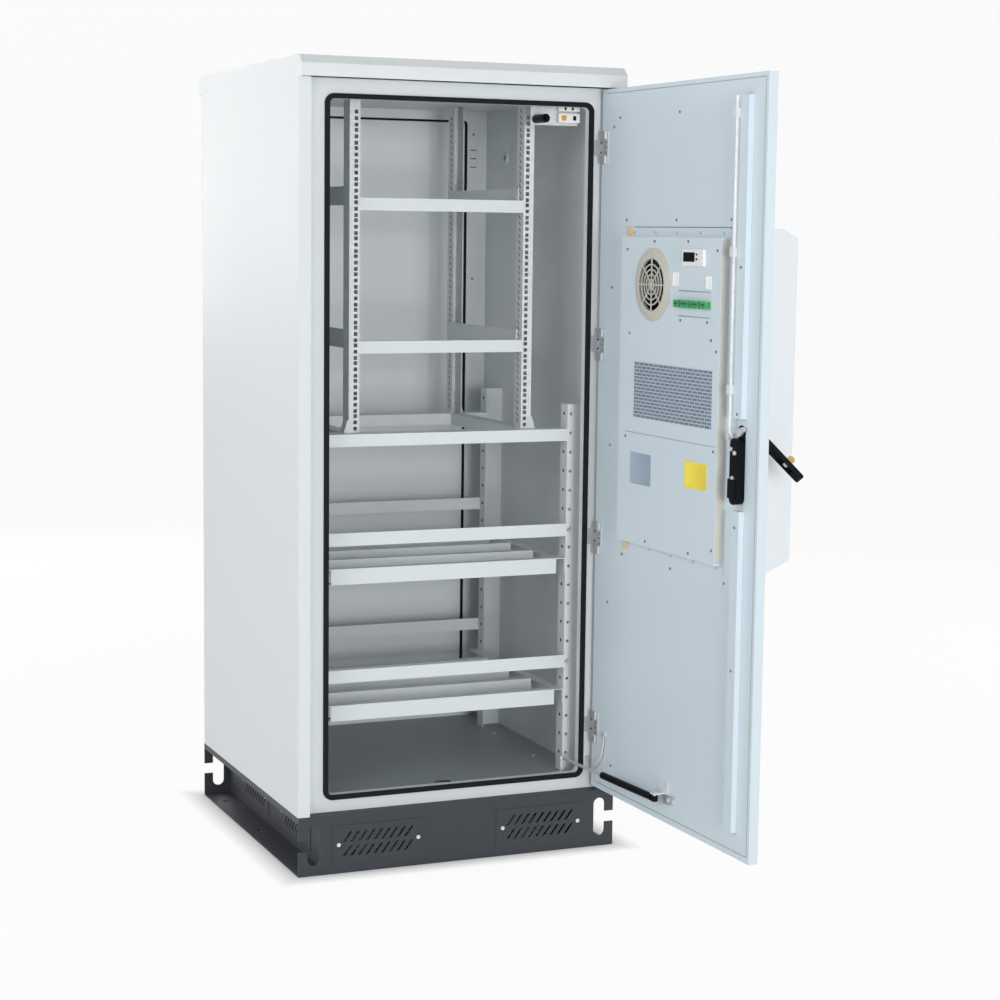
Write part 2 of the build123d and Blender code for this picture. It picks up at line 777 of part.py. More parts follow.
with BuildPart() as ac_outer_housing:
    side_origin = (door_hinge_x - ac_left, door_inner_y, 0)
    with BuildSketch(Plane(side_origin, (0, 0, 1), (-1, 0, 0))):
        outer = -door_thickness - ac_bulge
        with BuildLine():
            Polyline(
                (ac_low, -door_thickness),
                (ac_high, -door_thickness),
                (ac_high, outer + ac_top_chamfer[1]),
                (ac_high - ac_top_chamfer[0], outer),
                (ac_low + ac_bottom_chamfer[0], outer),
                (ac_low, outer + ac_bottom_chamfer[1]),
                close=True,
            )
        make_face()
    extrude(amount=ac_right - ac_left)
    with BuildSketch(door_face):
        with Locations((ac_middle_u, ac_middle_z)):
            Rectangle(ac_right - ac_left - 2 * ac_collar_inset, ac_height - 2 * ac_collar_inset)
    extrude(amount=-door_thickness)
    offset(amount=-sheet, openings=ac_outer_housing.faces().sort_by(Axis.Y)[-1])
    with BuildSketch(door_face.offset(outer)):
        with Locations((ac_middle_u, ac_middle_z)):
            with GridLocations(louvre_pitch_u, louvre_pitch_z, louvre_columns, louvre_rows):
                Rectangle(louvre_width, louvre_height)
    extrude(amount=sheet, mode=Mode.SUBTRACT)
door_pieces["ac_outer_housing"] = ac_outer_housing.part

with BuildPart() as ac_inner_cover:
    with BuildSketch(door_face):
        with Locations((ac_middle_u, centre(cover_low, cover_high))):
            Rectangle(ac_right - ac_left - 2 * cover_side_inset, cover_high - cover_low)
    extrude(amount=cover_depth)
    offset(amount=-cover_sheet, openings=ac_inner_cover.faces().sort_by(Axis.Y)[0])
    with BuildSketch(door_face):
        with Locations((ac_middle_u, ac_middle_z)):
            Rectangle(ac_right - ac_left, ac_height)
            inside = ac_right - ac_left - 2 * (cover_side_inset + cover_sheet)
            Rectangle(inside, cover_high - cover_low - 2 * cover_sheet, mode=Mode.SUBTRACT)
    extrude(amount=ac_flange)
    with BuildSketch(cover_face):
        with Locations((fan_u, fan_z)):
            Circle(fan_opening_radius)
        with Locations((centre(grille_left, grille_right), grille_z)):
            pitch_u = (grille_right - grille_left) / grille_columns
            pitch_z = grille_height / grille_rows
            with GridLocations(pitch_u, pitch_z, grille_columns, grille_rows):
                Rectangle(grille_hole_width, grille_hole_height)
        with Locations((bezel_u, bezel_z)):
            Rectangle(bezel_right - bezel_left - 2 * controller_inset, bezel_height - 2 * controller_inset)
    extrude(amount=-cover_sheet, mode=Mode.SUBTRACT)
door_pieces["ac_inner_cover"] = ac_inner_cover.part

guard_plane = Plane((door_hinge_x - fan_u, door_inner_y + cover_depth, fan_z), (-1, 0, 0), (0, 0, -1))
fan_axis = Axis((door_hinge_x - fan_u, door_inner_y, fan_z), (0, 1, 0))
with BuildPart() as fan_guard:
    with BuildSketch(guard_plane):
        with BuildLine():
            Polyline(
                (fan_opening_radius, 0),
                (fan_ring_radius, 0),
                (fan_ring_radius, sheet),
                (fan_opening_radius + fan_ring_height, fan_ring_height),
                (fan_opening_radius, fan_ring_height),
                close=True,
            )
        make_face()
    revolve(axis=fan_axis)
    with BuildSketch(cover_face.offset(fan_ring_height - guard_wire)):
        with Locations((fan_u, fan_z)):
            for radius in reversed(guard_rings):
                Circle(radius)
                Circle(radius - guard_wire, mode=Mode.SUBTRACT)
            with PolarLocations(0, guard_spokes, angular_range=180):
                Rectangle(2 * fan_opening_radius + sheet, guard_wire)
    extrude(amount=guard_wire)
door_pieces["fan_guard"] = fan_guard.part

motor_back = cover_depth - cover_sheet - venturi_depth
motor_front = motor_back + motor_depth
rotor_back = motor_front + rotor_gap
rotor_radius = fan_opening_radius - rotor_clearance
with BuildPart() as fan_motor:
    with BuildSketch(door_face.offset(motor_back)):
        with Locations((fan_u, fan_z)):
            Circle(fan_opening_radius + venturi_wall)
            Circle(fan_opening_radius, mode=Mode.SUBTRACT)
    extrude(amount=venturi_depth)
    with BuildSketch(door_face.offset(motor_back)):
        with Locations((fan_u, fan_z)):
            with PolarLocations(0, 2, angular_range=180):
                Rectangle(2 * fan_opening_radius + sheet, motor_arm_width)
    extrude(amount=motor_arm_thickness)
    with BuildSketch(door_face.offset(motor_back)):
        with Locations((fan_u, fan_z)):
            Circle(motor_radius)
    extrude(amount=motor_depth)
    with BuildSketch(door_face.offset(motor_front)):
        with Locations((fan_u, fan_z)):
            Circle(motor_shaft_radius)
    extrude(amount=rotor_gap + rotor_depth / 2)
door_pieces["fan_motor"] = fan_motor.part

rotor_middle = door_inner_y + rotor_back + rotor_depth / 2
rotor_plane = Plane((door_hinge_x - fan_u, rotor_middle, fan_z), (-1, 0, 0), (0, 1, 0))
blade_sine = math.sin(math.radians(blade_pitch))
blade_cosine = math.cos(math.radians(blade_pitch))
blade_chord = (rotor_depth - blade_thickness * blade_cosine) / blade_sine
with BuildPart(rotor_plane) as fan_rotor:
    Cylinder(rotor_hub_radius, rotor_depth)
    with PolarLocations(centre(rotor_hub_radius - blade_root, rotor_radius), blade_count):
        Box(
            rotor_radius - rotor_hub_radius + blade_root,
            blade_chord,
            blade_thickness,
            rotation=(blade_pitch, 0, 0),
        )
    Cylinder(motor_shaft_radius + running_clearance, rotor_depth, mode=Mode.SUBTRACT)
door_pieces["fan_rotor"] = fan_rotor.part

button_places = {
    "controller_button_up": bezel_z + button_spacing / 2,
    "controller_button_down": bezel_z - button_spacing / 2,
}
with BuildPart() as controller:
    with BuildSketch(cover_face):
        with Locations((bezel_u, bezel_z)):
            Rectangle(bezel_right - bezel_left, bezel_height)
    extrude(amount=bezel_proud)
    with BuildSketch(cover_face):
        with Locations((bezel_u, bezel_z)):
            Rectangle(bezel_right - bezel_left - 2 * controller_inset, bezel_height - 2 * controller_inset)
    extrude(amount=-controller_depth)
    with BuildSketch(cover_face.offset(bezel_proud)):
        with Locations(*[(button_u, z) for z in button_places.values()]):
            Rectangle(button_size[0] + 2 * button_gap, button_size[1] + 2 * button_gap)
    extrude(amount=-button_pocket, mode=Mode.SUBTRACT)
door_pieces["controller"] = controller.part

for name, z in button_places.items():
    with BuildPart() as button:
        with BuildSketch(cover_face.offset(bezel_proud + button_proud)):
            with Locations((button_u, z)):
                Rectangle(*button_size)
        extrude(amount=-(button_proud + button_pocket - button_travel - button_gap))
    door_pieces[name] = button.part

with BuildPart() as ac_terminal_strip:
    with BuildSketch(cover_face):
        with Locations((strip_u, strip_z)):
            Rectangle(strip_right - strip_left, strip_height)
    extrude(amount=strip_base)
    with BuildSketch(cover_face.offset(strip_base)):
        with Locations((strip_u, strip_z)):
            with GridLocations((strip_right - strip_left) / strip_groups, 0, strip_groups, 1):
                Rectangle(strip_group_width, strip_height)
    extrude(amount=strip_proud - strip_base)
door_pieces["ac_terminal_strip"] = ac_terminal_strip.part

# Rod lock: crank, latch rod and guides inside, a lifting and turning handle with its key outside
lock_u = 719.0
lock_rise = 989.0
shaft_radius = 5.0
crank_radius = 28.0
crank_rest_slope = 27.5
crank_thickness = 5.0
crank_gap = 3.0
crank_eye = 9.0
crank_end = 6.0
crank_tail = 16.0
crank_pin_radius = 3.0
crank_pin_top = 22.0
housing_width = 32.0
housing_low_drop = 165.0
housing_top_drop = 13.0
housing_plate = 2.0
housing_plate_rise = 16.0
housing_depth = 22.0
housing_block_low = 15.0
housing_block_high = 59.0
housing_block_depth = 28.0
rod_foot_width = 17.0
rod_foot_height = 18.0
rod_foot_thickness = 6.0
rod_slot_gap = 0.4
rod_top_gap = 4.0
guide_width = 14.0
guide_depth = 26.0
guide_height = 22.0
guide_drop = 43.0
guide_pitch = 310.0
guide_count = 3
stiffener_left = 702.0
stiffener_right = 736.0
stiffener_depth = 14.0
stiffener_low_gap = 29.0
stiffener_top_gap = 4.0
stiffener_lock_gap = 15.0

lock_z = door_low + lock_rise
lock_x = door_hinge_x - lock_u
crank_angle = math.radians(crank_rest_slope)
pin_u = lock_u - crank_radius * math.cos(crank_angle)
pin_z = lock_z - crank_radius * math.sin(crank_angle)
pin_bulge = crank_radius - (lock_u - pin_u)
housing_low = lock_z - housing_low_drop
housing_top = lock_z - housing_top_drop

with BuildPart() as lock_crank:
    with BuildSketch(door_face.offset(crank_gap)):
        with Locations((lock_u, lock_z)):
            Circle(crank_eye)
        with Locations((pin_u, pin_z)):
            Circle(crank_end)
        make_hull()
    extrude(amount=crank_thickness)
    with BuildSketch(door_face.offset(crank_gap)):
        tail_u = lock_u + crank_tail * math.cos(crank_angle)
        tail_z = lock_z + crank_tail * math.sin(crank_angle)
        with Locations((lock_u, lock_z)):
            Circle(crank_eye)
        with Locations((tail_u, tail_z)):
            Circle(crank_end)
        make_hull()
    extrude(amount=crank_thickness)
    with BuildSketch(door_face.offset(crank_gap + crank_thickness)):
        with Locations((pin_u, pin_z)):
            Circle(crank_pin_radius)
    extrude(amount=crank_pin_top - crank_gap - crank_thickness)
door_pieces["lock_crank"] = lock_crank.part

with BuildPart() as latch_rod:
    with BuildSketch(door_face.offset(rod_off - rod_foot_thickness / 2)):
        with Locations((pin_u - pin_bulge / 2, pin_z)):
            Rectangle(rod_foot_width, rod_foot_height)
            pin_slot = 2 * (crank_pin_radius + rod_slot_gap)
            SlotOverall(pin_slot + pin_bulge, pin_slot, mode=Mode.SUBTRACT)
    extrude(amount=rod_foot_thickness)
    with BuildSketch(Plane.XY.offset(pin_z + rod_foot_height / 2)):
        with Locations((rod_x, rod_y)):
            Circle(rod_radius)
    extrude(amount=opening_high - rod_top_gap - pin_z - rod_foot_height / 2)
door_pieces["latch_rod"] = latch_rod.part

with BuildPart() as rod_guides:
    for number in range(guide_count):
        guide_z = opening_high - guide_drop - guide_pitch * number
        with BuildSketch(Plane.XY.offset(guide_z - guide_height / 2)):
            with Locations((rod_x, door_inner_y + guide_depth / 2)):
                Rectangle(guide_width, guide_depth)
            with Locations((rod_x, rod_y)):
                Circle(rod_radius + seat_gap, mode=Mode.SUBTRACT)
        extrude(amount=guide_height)
door_pieces["rod_guides"] = rod_guides.part

with BuildPart() as lock_housing:
    with BuildSketch(door_face):
        with Locations((lock_u, centre(housing_low, lock_z + housing_plate_rise))):
            SlotOverall(lock_z + housing_plate_rise - housing_low, housing_width, rotation=90)
        with Locations((lock_u, lock_z)):
            Circle(shaft_radius + seat_gap, mode=Mode.SUBTRACT)
    extrude(amount=housing_plate)
    with BuildSketch(door_face.offset(housing_plate)):
        with Locations((lock_u, centre(housing_low, housing_top))):
            SlotOverall(housing_top - housing_low, housing_width, rotation=90)
    extrude(amount=housing_depth - housing_plate)
    with BuildSketch(door_face.offset(housing_depth)):
        block_z = housing_low + centre(housing_block_low, housing_block_high)
        with Locations((lock_u, block_z)):
            Rectangle(housing_width - 2 * sheet, housing_block_high - housing_block_low)
    extrude(amount=housing_block_depth - housing_depth)
door_pieces["lock_housing"] = lock_housing.part

with BuildPart() as door_stiffeners:
    runs = (
        (opening_low + stiffener_low_gap, housing_low - stiffener_lock_gap),
        (lock_z + housing_plate_rise + stiffener_lock_gap, opening_high - stiffener_top_gap),
    )
    for low, high in runs:
        with BuildSketch(Plane.XY.offset(low)):
            stiffener_x = door_hinge_x - centre(stiffener_left, stiffener_right)
            width = stiffener_right - stiffener_left
            with Locations((stiffener_x, door_inner_y + stiffener_depth / 2)):
                Rectangle(width, stiffener_depth)
            with Locations((stiffener_x, door_inner_y + stiffener_depth / 2 - sheet)):
                Rectangle(width - 2 * sheet, stiffener_depth, mode=Mode.SUBTRACT)
        extrude(amount=high - low)
door_pieces["door_stiffeners"] = door_stiffeners.part

# Outside handle, modelled hanging down, then lifted and turned to its resting place
hub_radius = 20.0
hub_plate = 2.5
ear_inner = 11.5
ear_thickness = 5.0
ear_half_height = 11.0
lift_depth = 10.0
lift_pin_radius = 3.0
handle_length = 150.0
handle_width = 22.0
handle_eye = 7.0
handle_end = 6.0
handle_lift = 35.0
handle_turn = 30.0
lock_recess_start = 80.0
lock_recess_end = 124.0
lock_recess_width = 16.0
lock_recess_depth = 7.0
cylinder_reach = 102.0
cylinder_radius = 5.7
cylinder_bore = 6.0
cam_length = 10.0
cam_width = 8.0
cam_thickness = 3.0
key_width = 7.0
key_thickness = 2.0
key_stem = 10.0
key_bow_radius = 9.0

hub_off = -door_thickness - seat_gap
pivot_off = -door_thickness - lift_depth
ear_top = pivot_off - ear_half_height
pivot_y = door_inner_y + pivot_off
lift_axis = Axis((lock_x, pivot_y, lock_z), (1, 0, 0))
shaft_axis = Axis((lock_x, pivot_y, lock_z), (0, 1, 0))
handle_plane = Plane((lock_x + handle_width / 2, pivot_y, lock_z), (0, -1, 0), (-1, 0, 0))
key_z = lock_z - cylinder_reach

with BuildPart() as handle_hub:
    with BuildSketch(door_face.offset(hub_off)):
        with Locations((lock_u, lock_z)):
            Circle(hub_radius)
    extrude(amount=-hub_plate)
    with BuildSketch(door_face.offset(hub_off)):
        for side in (-1, 1):
            with Locations((lock_u + side * (ear_inner + ear_thickness / 2), lock_z)):
                Rectangle(ear_thickness, 2 * ear_half_height)
    extrude(amount=ear_top - hub_off)
    with BuildSketch(Plane((lock_x - ear_inner, pivot_y, lock_z), (0, 1, 0), (1, 0, 0))):
        Circle(lift_pin_radius)
    extrude(amount=2 * ear_inner)
    with BuildSketch(door_face.offset(hub_off)):
        with Locations((lock_u, lock_z)):
            Circle(shaft_radius)
    extrude(amount=crank_gap - hub_off)
door_pieces["handle_hub"] = handle_hub.part

with BuildPart() as swing_handle:
    with BuildSketch(handle_plane):
        Circle(handle_eye)
        with Locations((0, handle_end - handle_length)):
            Circle(handle_end)
        make_hull()
        Circle(lift_pin_radius + running_clearance, mode=Mode.SUBTRACT)
    extrude(amount=handle_width)
    recess_z = lock_z - centre(lock_recess_start, lock_recess_end)
    with BuildSketch(door_face.offset(pivot_off + handle_eye)):
        with Locations((lock_u, recess_z)):
            Rectangle(lock_recess_width, lock_recess_end - lock_recess_start)
    extrude(amount=-lock_recess_depth, mode=Mode.SUBTRACT)
    with BuildSketch(door_face.offset(pivot_off + handle_eye)):
        with Locations((lock_u, key_z)):
            Circle(cylinder_bore)
    extrude(amount=-2 * handle_eye, mode=Mode.SUBTRACT)
door_pieces["swing_handle"] = swing_handle.part

with BuildPart() as key_cylinder:
    cylinder_face = pivot_off - handle_end
    with BuildSketch(door_face.offset(cylinder_face)):
        with Locations((lock_u, key_z)):
            Circle(cylinder_radius)
    extrude(amount=handle_eye + handle_end - lock_recess_depth + cam_thickness)
    with BuildSketch(door_face.offset(pivot_off + handle_eye - lock_recess_depth + seat_gap)):
        with Locations((lock_u, key_z + cam_length / 2 - cam_width / 2)):
            Rectangle(cam_width, cam_length)
    extrude(amount=cam_thickness)
door_pieces["key_cylinder"] = key_cylinder.part

with BuildPart() as door_key:
    with BuildSketch(Plane((lock_x, door_inner_y + cylinder_face, key_z), (0, 0, 1), (-1, 0, 0))):
        with Locations((0, -key_stem / 2)):
            Rectangle(key_width, key_stem)
        with Locations((0, -key_stem - key_bow_radius / 2)):
            Circle(key_bow_radius)
    extrude(amount=key_thickness / 2, both=True)
door_pieces["door_key"] = door_key.part

for name in ("swing_handle", "key_cylinder", "door_key"):
    door_pieces[name] = door_pieces[name].rotate(lift_axis, -handle_lift)
for name in ("handle_hub", "swing_handle", "key_cylinder", "door_key"):
    door_pieces[name] = door_pieces[name].rotate(shaft_axis, handle_turn)

# Door panel: an insulated leaf cut out for the air conditioner, the hinges and the lock shaft
with BuildPart() as door_panel:
    with BuildSketch(door_face):
        with Locations((door_width / 2, centre(door_low, door_high))):
            Rectangle(door_width, door_high - door_low)
        with Locations((ac_middle_u, ac_middle_z)):
            cut = 2 * (ac_collar_gap - ac_collar_inset)
            Rectangle(ac_right - ac_left + cut, ac_height + cut, mode=Mode.SUBTRACT)
        with Locations((lock_u, lock_z)):
            Circle(shaft_radius + seat_gap, mode=Mode.SUBTRACT)
    extrude(amount=-door_thickness)
    with BuildSketch(door_face):
        for z in hinge_heights:
            with Locations((notch_depth / 2, z)):
                Rectangle(notch_depth, hinge_height + 2 * notch_margin)
    extrude(amount=notch_skin - door_thickness, mode=Mode.SUBTRACT)
door_pieces["door_panel"] = door_panel.part

# Door stay: a gas tube swivels on the door and a rod slides in it towards the frame stud
stay_rise = 44.0
stay_u = 390.0
stay_off = 25.0
stay_frame_x = 322.0
stay_frame_setback = 52.0
stay_tube_radius = 9.0
stay_tube_start = 12.0
stay_tube_length = 240.0
stay_rod_radius = 4.0
stay_rod_length = 290.0
stay_eye_radius = 8.0
stay_eye_height = 14.0
stay_neck_radius = 6.0
stay_rod_eye_height = 10.0
stay_stud_radius = 4.0
stay_bracket_width = 44.0
stay_bracket_height = 30.0
stay_bracket_sheet = 3.0
stay_tab_width = 20.0
stay_tab_lift = 11.0
stay_foot_width = 36.0
stay_stud_gap = 0.5

stay_z = floor_z + stay_rise
stay_door_x = door_hinge_x - stay_u
stay_door_y = door_inner_y + stay_off
open_pivot = Vertex(stay_door_x, stay_door_y, stay_z).rotate(hinge_axis, rest_angle).center()
frame_pivot = Vector(stay_frame_x, frame_y + stay_frame_setback, stay_z)
stay_run = frame_pivot - open_pivot
stay_plane = Plane(open_pivot, (0, 0, 1), stay_run.normalized())

with BuildPart() as stay_tube:
    with BuildSketch(stay_plane.offset(stay_tube_start)):
        Circle(stay_tube_radius)
        Circle(stay_rod_radius + seat_gap, mode=Mode.SUBTRACT)
    extrude(amount=stay_tube_length)
    with BuildSketch(stay_plane.offset(stay_stud_radius + stay_bracket_sheet)):
        Circle(stay_neck_radius)
    extrude(amount=stay_tube_start - stay_stud_radius - stay_bracket_sheet)
    with BuildSketch(Plane(open_pivot, z_dir=(0, 0, 1)).offset(-stay_eye_height / 2)):
        Circle(stay_eye_radius)
    extrude(amount=stay_eye_height)
    with BuildSketch(Plane(open_pivot, z_dir=(0, 0, 1)).offset(-stay_eye_height / 2)):
        Circle(stay_stud_radius + running_clearance)
    extrude(amount=stay_eye_height, mode=Mode.SUBTRACT)
pieces["stay_tube"] = stay_tube.part

with BuildPart() as stay_rod:
    with BuildSketch(stay_plane.offset(stay_run.length - stay_rod_length)):
        Circle(stay_rod_radius)
    extrude(amount=stay_rod_length)
    with BuildSketch(Plane(frame_pivot, z_dir=(0, 0, 1)).offset(-stay_rod_eye_height / 2)):
        Circle(stay_eye_radius)
    extrude(amount=stay_rod_eye_height)
pieces["stay_rod"] = stay_rod.part

with BuildPart() as stay_frame_bracket:
    with BuildSketch(Plane.XY.offset(floor_z)):
        with Locations((stay_frame_x, frame_pivot.Y)):
            Rectangle(stay_foot_width, stay_foot_width)
    extrude(amount=stay_bracket_sheet)
    with BuildSketch(Plane.XY.offset(floor_z)):
        with Locations((stay_frame_x, frame_pivot.Y)):
            Circle(stay_stud_radius)
    extrude(amount=stay_rise - stay_rod_eye_height / 2 - stay_stud_gap)
pieces["stay_frame_bracket"] = stay_frame_bracket.part

with BuildPart() as stay_door_bracket:
    tab_z = stay_z + stay_tab_lift
    with BuildSketch(door_face):
        with Locations((stay_u, tab_z + stay_bracket_height / 2)):
            Rectangle(stay_bracket_width, stay_bracket_height)
    extrude(amount=stay_bracket_sheet)
    with BuildSketch(Plane.XY.offset(tab_z)):
        with Locations((stay_door_x, centre(door_inner_y, stay_door_y + stay_eye_radius))):
            Rectangle(stay_tab_width, stay_off + stay_eye_radius)
    extrude(amount=stay_bracket_sheet)
    with BuildSketch(Plane.XY.offset(stay_z - stay_eye_height / 2)):
        with Locations((stay_door_x, stay_door_y)):
            Circle(stay_stud_radius)
    extrude(amount=stay_eye_height / 2 + stay_tab_lift)
door_pieces["stay_door_bracket"] = stay_door_bracket.part

# Screws of the door: air conditioner flange, lock housing and the earth stud
door_screw_radius = 3.5
door_screw_height = 2.5
flange_screw_columns = 5
flange_screw_pitch = 108.0
flange_screw_inset = 12.0
earth_stud_u = 75.0
earth_stud_rise = 133.0

earth_z = floor_z + earth_stud_rise
with BuildPart() as door_screws:
    with BuildSketch(door_face.offset(ac_flange)):
        for z in (ac_high - flange_screw_inset, ac_low + flange_screw_inset):
            with Locations((ac_middle_u, z)):
                with GridLocations(flange_screw_pitch, 0, flange_screw_columns, 1):
                    RegularPolygon(door_screw_radius, 6)
    extrude(amount=door_screw_height)
    with BuildSketch(door_face):
        with Locations((earth_stud_u, earth_z)):
            RegularPolygon(bolt_radius, 6)
    extrude(amount=earth_stud_height)
door_pieces["door_screws"] = door_screws.part

for name, part in door_pieces.items():
    pieces[name] = part.rotate(hinge_axis, rest_angle)

# Earth wire between the open door and the frame, held at both ends
wire_radius = 2.0
wire_bend_share = 0.45
wire_points = (
    (372.4, -492.6, 306.0),
    (371.5, -490.0, 266.0),
    (368.5, -470.0, 232.0),
    (367.5, -438.0, 211.0),
    (369.0, -411.0, 198.0),
    (370.0, -401.0, 210.0),
    (370.0, -400.9, 227.0),
)
wire_vectors = [Vector(*point) for point in wire_points]
wire_runs = [after - before for before, after in zip(wire_vectors, wire_vectors[1:])]
wire_radii = []
for before, after in zip(wire_runs, wire_runs[1:]):
    half_turn = math.radians(before.get_angle(after)) / 2
    wire_radii.append(wire_bend_share * min(before.length, after.length) / math.tan(half_turn))
print("earth wire radii", [round(radius, 1) for radius in wire_radii])
with BuildPart() as earth_wire:
    with BuildLine() as wire_path:
        FilletPolyline(*wire_points, radius=wire_radii)
    with BuildSketch(Plane(wire_path.line @ 0, z_dir=wire_path.line % 0)):
        Circle(wire_radius)
    sweep()
pieces["earth_wire"] = earth_wire.part
wire_length = sum(edge.length for edge in wire_path.edges())
wire_share = earth_wire.part.volume / (math.pi * wire_radius**2 * wire_length)
print("earth wire length", round(wire_length, 1), "volume share", round(wire_share, 4))

for name, part in pieces.items():
    part.label = name
    export_step(part, f"parts/{name}.step")
print(len(pieces), "pieces")
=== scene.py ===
import math

import bmesh
import bpy
from mathutils import Matrix, Vector


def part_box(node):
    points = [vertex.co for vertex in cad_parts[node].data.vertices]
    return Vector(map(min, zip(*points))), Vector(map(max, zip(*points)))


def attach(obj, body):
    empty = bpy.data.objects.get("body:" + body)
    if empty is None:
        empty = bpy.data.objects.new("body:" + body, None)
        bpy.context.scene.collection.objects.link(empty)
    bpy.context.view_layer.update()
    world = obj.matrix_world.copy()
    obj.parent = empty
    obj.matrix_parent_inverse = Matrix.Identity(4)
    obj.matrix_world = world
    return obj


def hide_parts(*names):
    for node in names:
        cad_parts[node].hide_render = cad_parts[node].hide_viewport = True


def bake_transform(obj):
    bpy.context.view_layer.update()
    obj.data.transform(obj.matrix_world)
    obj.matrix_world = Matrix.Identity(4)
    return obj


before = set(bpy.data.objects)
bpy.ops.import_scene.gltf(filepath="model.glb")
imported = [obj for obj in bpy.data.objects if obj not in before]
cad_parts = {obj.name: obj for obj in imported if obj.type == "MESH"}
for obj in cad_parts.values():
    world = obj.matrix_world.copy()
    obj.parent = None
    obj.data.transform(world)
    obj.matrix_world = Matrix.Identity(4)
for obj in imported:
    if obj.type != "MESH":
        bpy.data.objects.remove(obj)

bl_info = {
    "name": "Roadside utility cabinet",
    "version": (1, 0, 0),
    "blender": (4, 5, 0),
    "location": "View3D > Sidebar > Cabinet",
    "description": "Finishes, small fittings, earth wire and stage of an outdoor equipment cabinet",
    "category": "Object",
}

# The open door: u runs from its hinge edge, then height, then distance inwards from its inner face
HINGE = Vector((0.3915, -0.422, 0))
DOOR_ANGLE = math.radians(91.5)
DOOR_FACE = Matrix(((-1, 0, 0, 0.3965), (0, 0, 1, -0.405), (0, 1, 0, 0), (0, 0, 0, 1)))
DOOR_TURN = Matrix.Rotation(DOOR_ANGLE, 4, "Z")
DOOR = Matrix.Translation(HINGE) @ DOOR_TURN @ Matrix.Translation(-HINGE) @ DOOR_FACE
# How far the cooler's cover, the stiffener and the hinge leaves stand inwards from that face, in millimetres
COVER_FACE = 24
STIFFENER_FACE = 14
HINGE_LEAF_FACE = 3
# Middle of the lock's shaft, a height above its housing's thick block, place of the pin at the crank's end
# and heights of the four hinges, in millimetres
LOCK_U = 719
LOCK_BLOCK_TOP = 1060
CRANK_PIN = (694.2, 1137.1, 22)
HINGE_HEIGHTS = (319.5, 816, 1312.5, 1809)
# How high the flat screws of the hinges stand, in metres
HINGE_SCREW_HEIGHT = 0.0009
# Distance from one plug-in terminal's screw to the next, in millimetres
TERMINAL_PITCH = 9.5
# Holes in the lower posts' flanges: radius, height of the first one and distance between them, in metres
FLANGE_HOLE_RADIUS = 0.0045
FLANGE_HOLE_START = 0.227
FLANGE_HOLE_PITCH = 0.05
FLANGE_HOLES = 19
# How far the dark bottom of a slot or hole stands off its sheet, so that it shows, in metres
HAIR = 0.0004
# Slots of the rack posts: margin below the first one, and margin of both ends together, in metres
POST_SLOT_START = 0.02
POST_SLOT_MARGIN = 0.03
# Turns that point a piece's Z to the front, the left and the right
TO_FRONT = Matrix.Rotation(math.radians(90), 4, "X")
TO_LEFT = Matrix.Rotation(math.radians(-90), 4, "Y")
TO_RIGHT = Matrix.Rotation(math.radians(90), 4, "Y")

# Camera fitted to the photo: its turn, its place in millimetres and its lens
CAMERA_YAW = math.radians(23.156)
CAMERA_PITCH = math.radians(6.96)
CAMERA_ROLL = math.radians(0.706)
CAMERA_PLACE = (-2063.03, -5486.89, 1594.89)
CAMERA_LENS = 79.09

# Light that the white room throws on the object, and how brightly the paper shows to the camera
ROOM_LIGHT = 0.31
PAPER_GLOW = 0.93
# The paper in metres: its side, how high it rises behind the object and how far its bend reaches
PAPER_SIDE = 20
PAPER_RISE = 9
PAPER_BEND = 2.5

# Edges whose faces meet at less than this angle are shaded smooth
SMOOTH_ANGLE = math.radians(35)

finishes = {}


def linear(code):
    """An sRGB hex colour as linear red, green, blue and alpha."""
    parts = [int(code[i:i + 2], 16) / 255 for i in (1, 3, 5)]
    return [c / 12.92 if c <= 0.04045 else ((c + 0.055) / 1.055) ** 2.4 for c in parts] + [1.0]


def mm(*values):
    """Millimetres as a vector in metres."""
    return Vector([v / 1000 for v in values])


# Settings


def colour_setting(name, description, code):
    """A colour that the user can change."""
    return bpy.props.FloatVectorProperty(
        name=name, description=description, subtype="COLOR", size=4, min=0, max=1, default=linear(code)
    )


def size_setting(name, description, value):
    """A length that the user can change, in metres."""
    return bpy.props.FloatProperty(name=name, description=description, unit="LENGTH", default=value, min=0)


class FinishSettings(bpy.types.PropertyGroup):
    """Colours of the cabinet's materials."""

    body: colour_setting("Body paint", "Powder coat of the walls, roof, frames and beams", "#D3D8DA")
    lining: colour_setting("Door lining", "Powder coat of the door's inner side and cooler cover", "#CBD8E0")
    housing: colour_setting("Cooler housing", "Powder coat of the cooler's outer housing", "#DCE1E5")
    floor: colour_setting("Floor paint", "Powder coat of the floor pan", "#979E9F")
    plinth: colour_setting("Plinth paint", "Textured powder coat of the plinth", "#33363B")
    zinc: colour_setting("Zinc", "Zinc coating of the rack posts and brackets", "#D6D9DB")
    steel: colour_setting("Bright steel", "Plated steel of hinges, rods and screws", "#DEE0E2")
    brass: colour_setting("Brass", "Key", "#C9A46A")
    rubber: colour_setting("Rubber", "Door seals", "#12151A")
    plastic: colour_setting("Black plastic", "Handle, lock housing and stay tube", "#0F1114")
    moulding: colour_setting("Grey moulding", "Fan guard and motor", "#C0BFB6")
    white: colour_setting("White plastic", "Controller and terminal blocks", "#E8E9E6")
    green: colour_setting("Green plastic", "Plug-in terminals", "#3E9F5F")
    wire: colour_setting("Wire cover", "Earth wire", "#CFCBB6")


